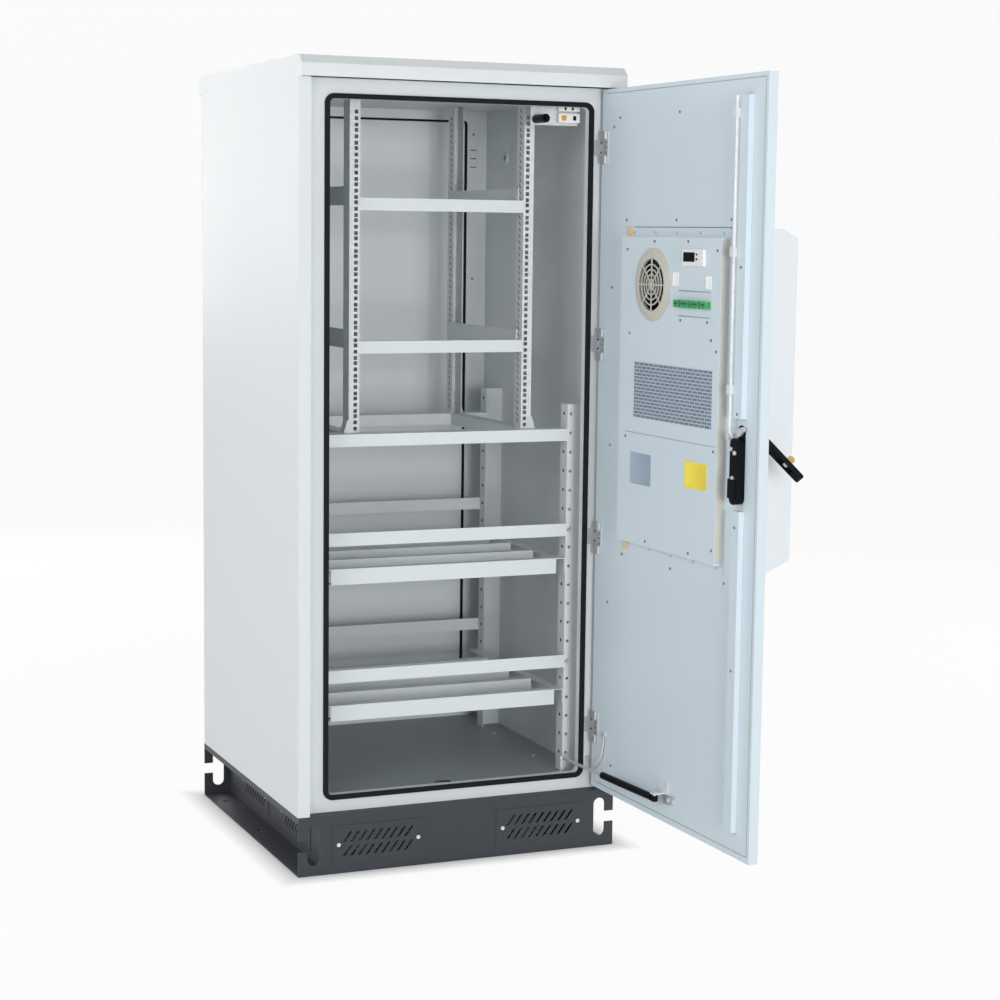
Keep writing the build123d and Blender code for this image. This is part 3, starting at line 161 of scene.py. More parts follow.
class FittingSettings(bpy.types.PropertyGroup):
    """Sizes of the small fittings."""

    screw_radius: size_setting("Screw radius", "Head radius of the small pan-head screws", 0.0034)
    screw_height: size_setting("Screw height", "Head height of the small pan-head screws", 0.0016)
    bolt_radius: size_setting("Bolt radius", "Corner radius of the lock's hexagon bolts", 0.0055)
    slot_length: size_setting("Post slot length", "Length of the slanted slots in the rack posts", 0.015)
    slot_width: size_setting("Post slot width", "Width of the slanted slots in the rack posts", 0.0048)
    slot_pitch: size_setting("Post slot pitch", "Distance from one slanted slot to the next", 0.0159)


# Materials


def add(tree, kind, values=None, links=None, **settings):
    """Adds a node with its settings, socket values and the links into it."""
    node = tree.nodes.new(kind)
    for name, value in settings.items():
        setattr(node, name, value)
    for name, value in (values or {}).items():
        node.inputs[name].default_value = value
    for name, source in (links or {}).items():
        tree.links.new(source, node.inputs[name])
    return node


def blank(name):
    """An empty node material, its tree and the place of a point on the piece's own axes."""
    material = bpy.data.materials.new(name)
    material.use_nodes = True
    tree = material.node_tree
    tree.nodes.clear()
    return material, tree, add(tree, "ShaderNodeTexCoord").outputs["Object"]


def shade(colour, factor):
    """The colour made lighter or darker by a factor."""
    return [min(1.0, c * factor) for c in colour[:3]] + [1.0]


def two_tones(tree, low, high, factor):
    """A mix of two colours, led by a texture."""
    return add(tree, "ShaderNodeMix", {"A": low, "B": high}, {"Factor": factor}, data_type="RGBA")


def relief(tree, strength, distance, height):
    """A bumpy surface, its depth in metres, led by a texture."""
    return add(tree, "ShaderNodeBump", {"Strength": strength, "Distance": distance}, {"Height": height})


def surface(tree, values, links):
    """The shader of a solid surface, and the material's output."""
    shader = add(tree, "ShaderNodeBsdfPrincipled", values, links)
    add(tree, "ShaderNodeOutputMaterial", links={"Surface": shader.outputs["BSDF"]})


def combine(tree, operation, *sources):
    """The number that one step of arithmetic makes of its sources."""
    return add(tree, "ShaderNodeMath", links=dict(enumerate(sources)), operation=operation).outputs[0]


def looked_at(tree):
    """1 where the camera looks, straight, by a reflection or through glass, and 0 where light is gathered."""
    path = add(tree, "ShaderNodeLightPath").outputs
    seen = combine(tree, "MAXIMUM", path["Is Camera Ray"], path["Is Glossy Ray"])
    return combine(tree, "MAXIMUM", seen, path["Is Transmission Ray"])


def powder_coat(name, colour, roughness, peel, mottle, outside=None):
    """Polyester powder baked on sheet steel: satin, with the faint orange peel of the cured film.

    The open door's outer side, which faces +X in its mesh, may have a colour of its own.
    """
    material, tree, place = blank(name)
    # The real peel is 1 to 2 mm across and is drawn 5 mm across, so that it shows
    grain = add(tree, "ShaderNodeTexNoise", {"Scale": 200.0, "Detail": 3.0}, {"Vector": place})
    # Film thickness drifts over about 350 mm, which changes the tone a little
    drift = add(tree, "ShaderNodeTexNoise", {"Scale": 2.9, "Detail": 4.0, "Roughness": 0.6}, {
        "Vector": place})
    tone = two_tones(tree, shade(colour, 1 - mottle), shade(colour, 1 + mottle), drift.outputs["Fac"])
    if outside:
        facing = add(tree, "ShaderNodeSeparateXYZ", links={"Vector": place.node.outputs["Normal"]})
        outer = add(tree, "ShaderNodeMath", {1: 0.3}, {0: facing.outputs["X"]}, operation="GREATER_THAN")
        coat = two_tones(tree, shade(outside, 1 - mottle), shade(outside, 1 + mottle), drift.outputs["Fac"])
        tone = add(tree, "ShaderNodeMix", links={
            "A": tone.outputs["Result"], "B": coat.outputs["Result"],
            "Factor": outer.outputs[0]}, data_type="RGBA")
    gloss = add(tree, "ShaderNodeMapRange", {"To Min": roughness - 0.05, "To Max": roughness + 0.07}, {
        "Value": drift.outputs["Fac"]})
    bump = relief(tree, peel, 0.0004, grain.outputs["Fac"])
    surface(tree, {"IOR": 1.5}, {
        "Base Color": tone.outputs["Result"], "Roughness": gloss.outputs["Result"],
        "Normal": bump.outputs["Normal"]})
    return material


def spangled_zinc(name, colour):
    """Hot-dip zinc on sheet steel: a dull metal whose crystals, the spangle, each catch light differently.

    Its thin oxide scatters light as paint does, so that it is only partly metallic.
    """
    material, tree, place = blank(name)
    # Spangle of about 9 mm
    spangle = add(tree, "ShaderNodeTexVoronoi", {"Scale": 110.0}, {"Vector": place})
    cloud = add(tree, "ShaderNodeTexNoise", {"Scale": 14.0, "Detail": 4.0}, {"Vector": place})
    crystal = add(tree, "ShaderNodeSeparateColor", links={"Color": spangle.outputs["Color"]})
    tone = two_tones(tree, shade(colour, 0.92), shade(colour, 1.06), crystal.outputs["Red"])
    gloss = add(tree, "ShaderNodeMapRange", {"To Min": 0.36, "To Max": 0.55}, {"Value": cloud.outputs["Fac"]})
    surface(tree, {"Metallic": 0.12}, {
        "Base Color": tone.outputs["Result"], "Roughness": gloss.outputs["Result"]})
    return material


def drawn_metal(name, colour, roughness, stretch, metallic=1.0):
    """Plated or turned metal: bright, with fine lines from drawing or turning that soften its reflections."""
    material, tree, place = blank(name)
    # Lines about 1 mm apart, drawn long in one direction
    drawn = add(tree, "ShaderNodeMapping", {"Scale": stretch}, {"Vector": place}).outputs["Vector"]
    lines = add(tree, "ShaderNodeTexNoise", {"Scale": 1.0, "Detail": 2.0}, {"Vector": drawn})
    tone = two_tones(tree, shade(colour, 0.9), shade(colour, 1.06), lines.outputs["Fac"])
    gloss = add(tree, "ShaderNodeMapRange", {"To Min": roughness - 0.06, "To Max": roughness + 0.1}, {
        "Value": lines.outputs["Fac"]})
    surface(tree, {"Metallic": metallic}, {
        "Base Color": tone.outputs["Result"], "Roughness": gloss.outputs["Result"]})
    return material


def moulded_plastic(name, colour, roughness, grit, gloss=0.5):
    """Injection-moulded ABS or polyamide: an even body colour with the fine eroded grain of its mould."""
    material, tree, place = blank(name)
    # Mould grain, drawn 1.5 mm across so that it shows
    grain = add(tree, "ShaderNodeTexNoise", {"Scale": 650.0, "Detail": 2.0}, {"Vector": place})
    cloud = add(tree, "ShaderNodeTexNoise", {"Scale": 22.0, "Detail": 3.0}, {"Vector": place})
    tone = two_tones(tree, shade(colour, 0.94), shade(colour, 1.05), cloud.outputs["Fac"])
    bump = relief(tree, grit, 0.0003, grain.outputs["Fac"])
    surface(tree, {"Roughness": roughness, "IOR": 1.53, "Specular IOR Level": gloss}, {
        "Base Color": tone.outputs["Result"], "Normal": bump.outputs["Normal"]})
    return material


def extruded_rubber(name, colour):
    """Extruded EPDM rubber: matt black, with an uneven grey bloom."""
    material, tree, place = blank(name)
    bloom = add(tree, "ShaderNodeTexNoise", {"Scale": 35.0, "Detail": 5.0}, {"Vector": place})
    tone = two_tones(tree, colour, shade(colour, 1.5), bloom.outputs["Fac"])
    bump = relief(tree, 0.15, 0.0005, bloom.outputs["Fac"])
    surface(tree, {"Roughness": 0.72, "IOR": 1.5, "Specular IOR Level": 0.2}, {
        "Base Color": tone.outputs["Result"], "Normal": bump.outputs["Normal"]})
    return material


def cell_foam(name, colour):
    """Open-cell polyurethane foam: matt, with pores about 2 mm across."""
    material, tree, place = blank(name)
    pores = add(tree, "ShaderNodeTexVoronoi", {"Scale": 450.0}, {"Vector": place})
    tone = two_tones(tree, shade(colour, 1.08), shade(colour, 0.75), pores.outputs["Distance"])
    bump = relief(tree, 0.5, 0.001, pores.outputs["Distance"])
    surface(tree, {"Roughness": 0.95}, {
        "Base Color": tone.outputs["Result"], "Normal": bump.outputs["Normal"]})
    return material


def pressed_screen(name, colour, slot_shade):
    """Expanded sheet steel: staggered slots, 24 by 8.5 mm from middle to middle, with strands between; the
    slots are painted shade.
    """
    material, tree, place = blank(name)
    apart = add(tree, "ShaderNodeSeparateXYZ", links={"Vector": place})
    upright = add(tree, "ShaderNodeCombineXYZ", links={"X": apart.outputs["Y"], "Y": apart.outputs["Z"]})
    # The slots are painted shade, in two tones, and the strands have the sheet's colour
    cells = add(tree, "ShaderNodeTexBrick", {
        "Color1": slot_shade, "Color2": shade(slot_shade, 1.25), "Mortar": colour, "Scale": 1.0, "Mortar Size": 0.0017,
        "Mortar Smooth": 0.35, "Brick Width": 0.024, "Row Height": 0.0085},
        {"Vector": upright.outputs["Vector"]}, offset=0.5)
    bump = relief(tree, 0.5, 0.002, cells.outputs["Fac"])
    surface(tree, {"Roughness": 0.5, "IOR": 1.5}, {
        "Base Color": cells.outputs["Color"], "Normal": bump.outputs["Normal"]})
    return material


def studio_white(name, glow):
    """Seamless matt paper: white to the camera and in reflections, darker only where the object shades it."""
    material, tree, place = blank(name)
    # The glow ends at the object's footprint, so that the ground under it stays in its shade
    apart = add(tree, "ShaderNodeSeparateXYZ", links={"Vector": place})
    across = combine(tree, "ABSOLUTE", apart.outputs["X"])
    along = combine(tree, "ABSOLUTE", apart.outputs["Y"])
    reach = combine(tree, "MAXIMUM", across, along)
    edge = add(tree, "ShaderNodeMapRange", {"From Min": 0.425, "From Max": 0.50, "To Max": glow}, {
        "Value": reach})
    seen = combine(tree, "MULTIPLY", looked_at(tree), edge.outputs["Result"])
    grain = add(tree, "ShaderNodeTexNoise", {"Scale": 30.0}, {"Vector": place})
    tone = two_tones(tree, linear("#F2F2F2"), linear("#F6F6F6"), grain.outputs["Fac"])
    paper = add(tree, "ShaderNodeBsdfDiffuse", links={"Color": tone.outputs["Result"]})
    light = add(tree, "ShaderNodeEmission", {"Color": (1, 1, 1, 1), "Strength": 1.0})
    mixed = add(tree, "ShaderNodeMixShader", links={
        "Fac": seen, 1: paper.outputs["BSDF"], 2: light.outputs["Emission"]})
    add(tree, "ShaderNodeOutputMaterial", links={"Surface": mixed.outputs["Shader"]})
    return material


# Modelling


def clear_selection():
    """Deselects everything, so that the next operator acts on the new piece alone."""
    if bpy.context.object and bpy.context.object.mode != "OBJECT":
        bpy.ops.object.mode_set(mode="OBJECT")
    bpy.ops.object.select_all(action="DESELECT")


def choose(piece, test):
    """Selects the faces of the piece in edit mode for which the test holds."""
    bpy.ops.mesh.select_all(action="DESELECT")
    mesh = bmesh.from_edit_mesh(piece.data)
    for face in mesh.faces:
        face.select_set(test(face))
    bmesh.update_edit_mesh(piece.data)


def plate(name, low, high, edge, segments=2):
    """A blank between two corners, its edges rounded."""
    clear_selection()
    bpy.ops.mesh.primitive_cube_add(size=1, location=(low + high) / 2, scale=high - low)
    piece = bpy.context.object
    piece.name = piece.data.name = name
    bpy.ops.object.transform_apply(location=True, rotation=True, scale=True)
    bpy.ops.object.mode_set(mode="EDIT")
    bpy.ops.mesh.select_all(action="SELECT")
    bpy.ops.mesh.bevel(offset=edge, segments=segments, affect="EDGES")
    bpy.ops.object.mode_set(mode="OBJECT")
    return piece


def sink(piece, rim, depth):
    """Insets the largest face towards local Z and presses it in, which leaves a raised rim."""
    bpy.ops.object.mode_set(mode="EDIT")
    mesh = bmesh.from_edit_mesh(piece.data)
    index = max((f for f in mesh.faces if f.normal.z > 0.9), key=lambda f: f.calc_area()).index
    choose(piece, lambda face: face.index == index)
    bpy.ops.mesh.inset(thickness=rim, depth=0)
    bpy.ops.mesh.inset(thickness=rim * 0.2, depth=-depth)
    bpy.ops.object.mode_set(mode="OBJECT")
    return piece


def turned(name, radius, height, sides, edge):
    """A round or hexagonal head standing on the XY plane, with a rounded top edge."""
    clear_selection()
    bpy.ops.mesh.primitive_cylinder_add(vertices=sides, radius=radius, depth=height,
                                        location=(0, 0, height / 2))
    piece = bpy.context.object
    piece.name = piece.data.name = name
    bpy.ops.object.transform_apply(location=True, rotation=True, scale=True)
    bpy.ops.object.mode_set(mode="EDIT")
    choose(piece, lambda face: face.normal.z > 0.9)
    bpy.ops.mesh.bevel(offset=edge, segments=2, affect="EDGES")
    bpy.ops.object.mode_set(mode="OBJECT")
    return piece


def pan_head(name, radius, height):
    """A pan-head screw with its drive recess."""
    piece = turned(name, radius, height, 12, height * 0.45)
    return sink(piece, radius * 0.28, height * 0.5)


def repeat(master, name, places):
    """Copies the master to each place, with its own mesh, and joins the copies to one piece."""
    copies = []
    for place in places:
        copy = master.copy()
        copy.data = master.data.copy()
        copy.data.transform(place)
        bpy.context.scene.collection.objects.link(copy)
        copies.append(copy)
    bpy.data.objects.remove(master)
    clear_selection()
    for copy in copies:
        copy.select_set(True)
    bpy.context.view_layer.objects.active = copies[0]
    bpy.ops.object.join()
    piece = bpy.context.object
    piece.name = piece.data.name = name
    return piece


def settle(piece, finish, body, place=None):
    """Puts the finished mesh in its place, gives it its material and lets it ride on its body."""
    if place is not None:
        piece.data.transform(place)
    piece.data.materials.clear()
    piece.data.materials.append(finishes[finish])
    clear_selection()
    piece.select_set(True)
    bpy.context.view_layer.objects.active = piece
    bpy.ops.object.shade_smooth_by_angle(angle=SMOOTH_ANGLE)
    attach(piece, body)
    return piece


def on_door(u, z, off=0.0):
    """A place on the door, from millimetres, its Z pointing inwards."""
    return DOOR @ Matrix.Translation(mm(u, z, off))


def door_corners(node):
    """The corners of a CAD node on the door, in the door's own millimetres."""
    back = DOOR.inverted()
    return [(back @ vertex.co) * 1000 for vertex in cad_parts[node].data.vertices]


def door_plate(name, u, z, off, edge, finish):
    """A rounded plate on the door, between two limits each way in millimetres."""
    piece = plate(name, mm(u[0], z[0], off[0]), mm(u[1], z[1], off[1]), edge / 1000)
    return settle(piece, finish, "door", DOOR)


# Operators


class CABINET_OT_stage(bpy.types.Operator):
    """Camera, floor with a swept backdrop, lamps and world"""

    bl_idname = "cabinet.stage"
    bl_label = "Stage"

    def execute(self, context):
        scene = context.scene
        ahead = Vector((math.sin(CAMERA_YAW) * math.cos(CAMERA_PITCH),
                        math.cos(CAMERA_YAW) * math.cos(CAMERA_PITCH), -math.sin(CAMERA_PITCH)))
        level = Vector((math.cos(CAMERA_YAW), -math.sin(CAMERA_YAW), 0))
        above = level.cross(ahead)
        right = math.cos(CAMERA_ROLL) * level + math.sin(CAMERA_ROLL) * above
        up = -math.sin(CAMERA_ROLL) * level + math.cos(CAMERA_ROLL) * above
        camera = bpy.data.objects.new("camera", bpy.data.cameras.new("camera"))
        camera.data.lens = CAMERA_LENS
        camera.matrix_world = Matrix.Translation(mm(*CAMERA_PLACE)) @ Matrix(
            (right, up, -ahead)).transposed().to_4x4()
        scene.collection.objects.link(camera)
        scene.camera = camera

        # Paper swept up behind the object
        clear_selection()
        bpy.ops.mesh.primitive_plane_add(size=PAPER_SIDE, location=(0, 0, -0.0005))
        paper = context.object
        paper.name = paper.data.name = "floor"
        bpy.ops.object.transform_apply(location=True, rotation=True, scale=True)
        bpy.ops.object.mode_set(mode="EDIT")
        mesh = bmesh.from_edit_mesh(paper.data)
        bpy.ops.mesh.select_all(action="DESELECT")
        for edge in mesh.edges:
            edge.select_set(all(v.co.y > 0 for v in edge.verts))
        bmesh.update_edit_mesh(paper.data)
        bpy.ops.mesh.extrude_region_move(TRANSFORM_OT_translate={"value": (0, 0, PAPER_RISE)})
        mesh = bmesh.from_edit_mesh(paper.data)
        for edge in mesh.edges:
            edge.select_set(all(v.co.y > 0 and v.co.z < 1 for v in edge.verts))
        bmesh.update_edit_mesh(paper.data)
        bpy.ops.mesh.bevel(offset=PAPER_BEND, segments=16, affect="EDGES")
        bpy.ops.object.mode_set(mode="OBJECT")
        paper.data.materials.append(studio_white("matt_paper", PAPER_GLOW))
        bpy.ops.object.shade_smooth_by_angle(angle=SMOOTH_ANGLE)

        # Name, place, aim, width in metres and power in watts
        lamps = (
            ("key_lamp", (-4.2, -4.6, 3.4), (0, -0.2, 1.0), 2.6, 60),
            ("left_lamp", (-5.2, -0.6, 2.2), (0, 0, 1.1), 2.6, 96),
            ("front_lamp", (-0.6, -10.0, 1.3), (0.1, 0, 0.95), 3.0, 510),
            ("side_lamp", (4.4, -3.4, 2.6), (0.5, -0.6, 1.0), 2.2, 18),
            # Two lamps for the sides that the camera in front doesn't see
            ("right_lamp", (5.2, 0.6, 2.4), (0.4, -0.3, 1.0), 2.6, 80),
            ("rear_lamp", (-0.6, 5.6, 2.4), (0, 0, 1.0), 2.6, 90),
        )
        for name, place, aim, size, power in lamps:
            lamp = bpy.data.lights.new(name, "AREA")
            lamp.size = size
            lamp.energy = power
            holder = bpy.data.objects.new(name, lamp)
            turn = (Vector(aim) - Vector(place)).to_track_quat("-Z", "Y").to_matrix().to_4x4()
            holder.matrix_world = Matrix.Translation(place) @ turn
            # The front lamp would burn out on zinc, which shows the white room instead
            holder.visible_glossy = name != "front_lamp"
            holder.visible_camera = False
            scene.collection.objects.link(holder)

        world = bpy.data.worlds.new("studio")
        world.use_nodes = True
        tree = world.node_tree
        tree.nodes.clear()
        strength = add(tree, "ShaderNodeMapRange", {"To Min": ROOM_LIGHT, "To Max": 1.0}, {
            "Value": looked_at(tree)})
        sky = add(tree, "ShaderNodeBackground", {"Color": (1, 1, 1, 1)}, {
            "Strength": strength.outputs["Result"]})
        add(tree, "ShaderNodeOutputWorld", links={"Surface": sky.outputs["Background"]})
        scene.world = world
        scene.view_settings.view_transform = "Standard"
        return {"FINISHED"}


class CABINET_OT_finishes(bpy.types.Operator):
    """Materials, and their place on the solids"""

    bl_idname = "cabinet.finishes"
    bl_label = "Finishes"

    def execute(self, context):
        colours = context.scene.cabinet_finishes
        finishes.update({
            # Light grey coat of the body: satin, so that large walls carry soft gradients
            "paint_light_grey": powder_coat(
                "powder_coated_steel_light_grey", colours.body[:], 0.42, 0.12, 0.012),
            # The lining looks cooler than the body, because the open door lies in the shade
            "paint_door_inside": powder_coat(
                "powder_coated_steel_lining", colours.lining[:], 0.45, 0.12, 0.012, colours.body[:]),
            "paint_housing": powder_coat("powder_coated_steel_housing", colours.housing[:], 0.4, 0.12, 0.01),
            # Trodden floor: duller, with more change of tone
            "paint_olive_grey": powder_coat("powder_coated_steel_floor", colours.floor[:], 0.5, 0.2, 0.05),
            # Coarse textured coat that hides scratches: it breaks up the reflections
            "paint_dark_grey": powder_coat(
                "textured_powder_coated_steel", colours.plinth[:], 0.55, 0.5, 0.08),
            "galvanised": spangled_zinc("hot_dip_zinc_coated_steel", colours.zinc[:]),
            "bright_steel": drawn_metal("zinc_plated_steel", colours.steel[:], 0.34, (900, 900, 60), 0.7),
            "brass": drawn_metal("turned_brass", colours.brass[:], 0.3, (900, 60, 900)),
            "black_rubber": extruded_rubber("epdm_rubber", colours.rubber[:]),
            "black_plastic": moulded_plastic(
                "glass_filled_polyamide_black", colours.plastic[:], 0.36, 0.2, 0.08),
            "grey_beige_plastic": moulded_plastic("abs_grey", colours.moulding[:], 0.5, 0.12),
            "white_plastic": moulded_plastic("abs_white", colours.white[:], 0.35, 0.05),
            "green_plastic": moulded_plastic("polyamide_green", colours.green[:], 0.4, 0.08),
            "white_plate": moulded_plastic("polyester_plate_white", linear("#F6F7F6"), 0.35, 0.04),
            "wire_cover": moulded_plastic("pvc_wire_cover", colours.wire[:], 0.38, 0.05),
            # Small parts that are added to the solids
            "foam": cell_foam("polyurethane_foam", linear("#EBD0A6")),
            "yellow_plate": moulded_plastic("polyester_plate_yellow", linear("#F0DC4C"), 0.4, 0.04),
            "silver_plate": moulded_plastic("polyester_plate_grey", linear("#9CADBF"), 0.4, 0.04),
            # Painted shade: small screws inside the door get a duller, darker grey than bright steel, and
            # read as grey points from a step away
            "dull_screw": drawn_metal("screw_steel_shaded", linear("#8C939A"), 0.45, (900, 900, 900)),
            # A folded edge or slot seen as a line of shade
            "shade_line": moulded_plastic("powder_coated_steel_shaded", linear("#98A4AC"), 0.6, 0.1),
            "amber": moulded_plastic("polycarbonate_amber", linear("#D99A3C"), 0.3, 0.04),
            # Bottom of a hole in sheet metal: only the shade inside it is seen
            "hole": moulded_plastic("shaded_bore", linear("#34383C"), 0.9, 0.1),
            "shallow_hole": moulded_plastic("shaded_slot", linear("#767C81"), 0.8, 0.1),
            # The screen's slots are painted shade
            "screen": pressed_screen("expanded_steel_screen", linear("#B4C0CC"), linear("#6C7886")),
        })
        special = {
            "ac_outer_housing": "paint_housing", "terminal_bracket": "galvanised",
            "lock_crank": "bright_steel", "latch_rod": "galvanised",
        }
        for name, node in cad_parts.items():
            for holder in node.material_slots:
                slot = holder.material.name.split(".")[0]
                if slot not in finishes:
                    raise RuntimeError(f"no finish for the slot {slot} of {name}")
                holder.material = finishes[special.get(name, slot)]
        return {"FINISHED"}


class CABINET_OT_earth_wire(bpy.types.Operator):
    """Earth wire between the door and the frame"""

    bl_idname = "cabinet.earth_wire"
    bl_label = "Earth wire"

    def execute(self, context):
        route = (
            (372.4, -492.6, 306.0), (371.5, -490.0, 266.0), (368.5, -470.0, 232.0), (367.5, -438.0, 211.0),
            (369.0, -411.0, 198.0), (370.0, -401.0, 210.0), (370.0, -400.9, 227.0),
        )
        curve = bpy.data.curves.new("earth_wire_cover", "CURVE")
        curve.dimensions = "3D"
        curve.bevel_resolution = 4
        curve.resolution_u = 12
        curve.use_fill_caps = True
        spline = curve.splines.new("NURBS")
        spline.points.add(len(route) - 1)
        for point, place in zip(spline.points, route):
            point.co = (*mm(*place), 1)
        spline.order_u = 3
        spline.use_endpoint_u = True
        line = bpy.data.objects.new("earth_wire_route", curve)
        context.scene.collection.objects.link(line)
        path = [vertex.co.copy() for vertex in self.mesh_of(line, context).vertices]
        # The same line with its thickness, as a mesh
        curve.bevel_depth = 0.002
        wire = bpy.data.objects.new("earth_wire_cover", self.mesh_of(line, context))
        wire.data.name = wire.name
        bpy.data.objects.remove(line)
        context.scene.collection.objects.link(wire)
        wire.data.materials.clear()
        wire.data.materials.append(finishes["wire_cover"])
        wire.data.shade_smooth()
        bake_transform(wire)
        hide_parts("earth_wire")
        return {"FINISHED"}

    def mesh_of(self, line, context):
        """The curve as it is now, made a mesh."""
        context.view_layer.update()
        return bpy.data.meshes.new_from_object(line.evaluated_get(context.evaluated_depsgraph_get()))


class CABINET_OT_door_screws(bpy.types.Operator):
    """Small screws of the door's lining, stiffener and hinges"""

    bl_idname = "cabinet.door_screws"
    bl_label = "Door screws"

    def execute(self, context):
        sizes = context.scene.cabinet_fittings
        lining = (
            (65, 1858), (96, 1880), (398, 1881), (67, 1459), (141, 1628), (393, 1628), (649, 1629),
            (72, 1061), (153, 860), (148, 792), (399, 791), (654, 793), (74, 658), (109, 237),
        )
        head = pan_head("door_lining_screws", sizes.screw_radius, sizes.screw_height)
        places = [on_door(u, z) for u, z in lining]
        places += [on_door(LOCK_U, z, STIFFENER_FACE) for z in (1522, 1191, 932, 600)]
        settle(repeat(head, "door_lining_screws", places), "dull_screw", "door")
        self.hinge_screws(sizes)
        return {"FINISHED"}

    def hinge_screws(self, sizes):
        """Flat heads on both leaves of each hinge, side by side when the door is closed."""
        radius = sizes.screw_radius * 0.9
        head = pan_head("hinge_door_screws", radius, HINGE_SCREW_HEIGHT)
        places = [on_door(27, z + step, HINGE_LEAF_FACE) for z in HINGE_HEIGHTS for step in (-13, 0, 13)]
        settle(repeat(head, "hinge_door_screws", places), "dull_screw", "door")
        head = pan_head("hinge_frame_screws", radius, HINGE_SCREW_HEIGHT)
        places = [Matrix.Translation(mm(380, -400, z + step)) @ TO_FRONT
                  for z in HINGE_HEIGHTS for step in (-12, 12)]
        settle(repeat(head, "hinge_frame_screws", places), "dull_screw", "cabinet")


class CABINET_OT_lining(bpy.types.Operator):
    """Folded edges of the door's lining and of its stiffening channel, and the stay bracket's foot"""

    bl_idname = "cabinet.lining"
    bl_label = "Lining edges"

    def execute(self, context):
        sizes = context.scene.cabinet_fittings
        for name, u, z in (
            ("lining_edge_low", (24, 786), (175, 177.4)),
            ("lining_edge_high", (24, 786), (1941, 1943)),
            ("lining_edge_free", (784, 786), (178, 1940)),
        ):
            door_plate(name, u, z, (0, 0.8), 0.3, "shade_line")
        for name, u, z in (
            ("channel_edge_low", (700.4, 701.8), (224, 968)),
            ("channel_edge_high", (700.4, 701.8), (1183, 1903)),
        ):
            door_plate(name, u, z, (0, 1.2), 0.4, "shade_line")
        foot = plate("stay_foot", mm(392, 208, 0), mm(452, 236, 2), 0.0008)
        settle(foot, "bright_steel", "door", DOOR)
        bolt = turned("stay_foot_bolts", sizes.bolt_radius, 0.0035, 6, 0.0006)
        bolt = sink(bolt, 0.0018, 0.0005)
        settle(repeat(bolt, "stay_foot_bolts", [on_door(u, 222, 2) for u in (418, 442)]),
               "bright_steel", "door")
        return {"FINISHED"}


class CABINET_OT_cover(bpy.types.Operator):
    """Screws, bare plates, foam, side seal and lines of the cooler's inner cover, and a painted shadow along
    its flange's top
    """

    bl_idname = "cabinet.cover"
    bl_label = "Cooler cover"

    def execute(self, context):
        sizes = context.scene.cabinet_fittings
        front = COVER_FACE
        screws = ((332, 1577), (495, 1578), (194, 1556), (632, 1558), (212, 1352), (611, 1353), (635, 1328),
                  (465, 1393), (591, 1393), (200, 1097), (312, 847), (526, 847), (634, 868), (633, 1098))
        head = pan_head("cover_screws", sizes.screw_radius, sizes.screw_height)
        settle(repeat(head, "cover_screws", [on_door(u, z, front) for u, z in screws]),
               "dull_screw", "door")
        door_plate("foam_upper", (149, 184), (1586, 1611), (0, 2.4), 0.8, "foam")
        door_plate("foam_lower", (152, 188), (808, 833), (0, 2.4), 0.8, "foam")
        # Painted shadow: a thin dark strip in the rubber's colour along the top edge of the cooler's flange
        door_plate("flange_top_shadow", (186, 652), (1608.6, 1611.4), (0, 1.2), 0.4, "black_rubber")
        door_plate("cover_side_seal", (648.1, 649.1), (838, 1583), (1.5, 23), 0.4, "grey_beige_plastic")
        for name, u, z, finish, slot in (
            ("label_left", (424, 452), (1473, 1505), "white_plate", "white_plastic"),
            ("label_right", (581, 607), (1469, 1499), "white_plate", "white_plastic"),
            ("rating_plate", (229, 334), (983, 1061), "silver_plate", "bright_steel"),
            ("yellow_plate", (502, 606), (1002, 1065), "yellow_plate", "white_plastic"),
        ):
            piece = plate(name, mm(u[0], z[0], front), mm(u[1], z[1], front + 0.8), 0.0003)
            settle(sink(piece, 0.002, 0.0002), finish, "door", DOOR)
        for name, z in (("slot_line_upper", (1461, 1464.5)), ("slot_line_lower", (1402, 1405))):
            door_plate(name, (454, 604), z, (front, front + 0.8), 0.35, "shade_line")
        door_plate("cover_joint", (196, 640), (1108, 1110), (front, front + 0.5), 0.2, "shade_line")
        return {"FINISHED"}


class CABINET_OT_controller(bpy.types.Operator):
    """Display window and indicator windows of the controller"""

    bl_idname = "cabinet.controller"
    bl_label = "Controller"

    def execute(self, context):
        face = max(corner.z for corner in door_corners("controller"))
        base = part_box("controller")[0].z * 1000
        window = plate("display_window", mm(483, base + 10, face), mm(536, base + 32, face + 0.9), 0.0004)
        settle(sink(window, 0.0018, 0.0003), "black_plastic", "door", DOOR)
        for index, z in enumerate((14, 25)):
            mark = plate(f"indicator_{index}", mm(541, base + z, face),
                         mm(549, base + z + 4.5, face + 0.8), 0.0004)
            settle(sink(mark, 0.0008, 0.0002), "black_plastic", "door", DOOR)
        return {"FINISHED"}


class CABINET_OT_terminals(bpy.types.Operator):
    """Groups, screws and wire entries of the cooler's plug-in terminals"""

    bl_idname = "cabinet.terminals"
    bl_label = "Terminals"

    def execute(self, context):
        groups = ((452, 477), (484, 523), (532, 569), (578, 604))
        corners = door_corners("ac_terminal_strip")
        face = max(corner.z for corner in corners)
        low = min(corner.y for corner in corners)
        high = max(corner.y for corner in corners)
        for index, (start, end) in enumerate(groups):
            block = plate(f"terminal_group_{index}", mm(start, low - 1, face - 0.5),
                          mm(end, high + 2, face + 4), 0.0007)
            settle(sink(block, 0.003, 0.001), "green_plastic", "door", DOOR)
        entry = turned("terminal_screws", 0.0028, 0.0009, 10, 0.0003)
        entry = sink(entry, 0.0008, 0.0004)
        places = []
        for start, end in groups:
            count = max(2, round((end - start) / TERMINAL_PITCH))
            for step in range(count):
                u = start + (step + 0.5) * (end - start) / count
                places.append(on_door(u, (low + high) / 2 + 1, face + 3))
        settle(repeat(entry, "terminal_screws", places), "hole", "door")
        return {"FINISHED"}


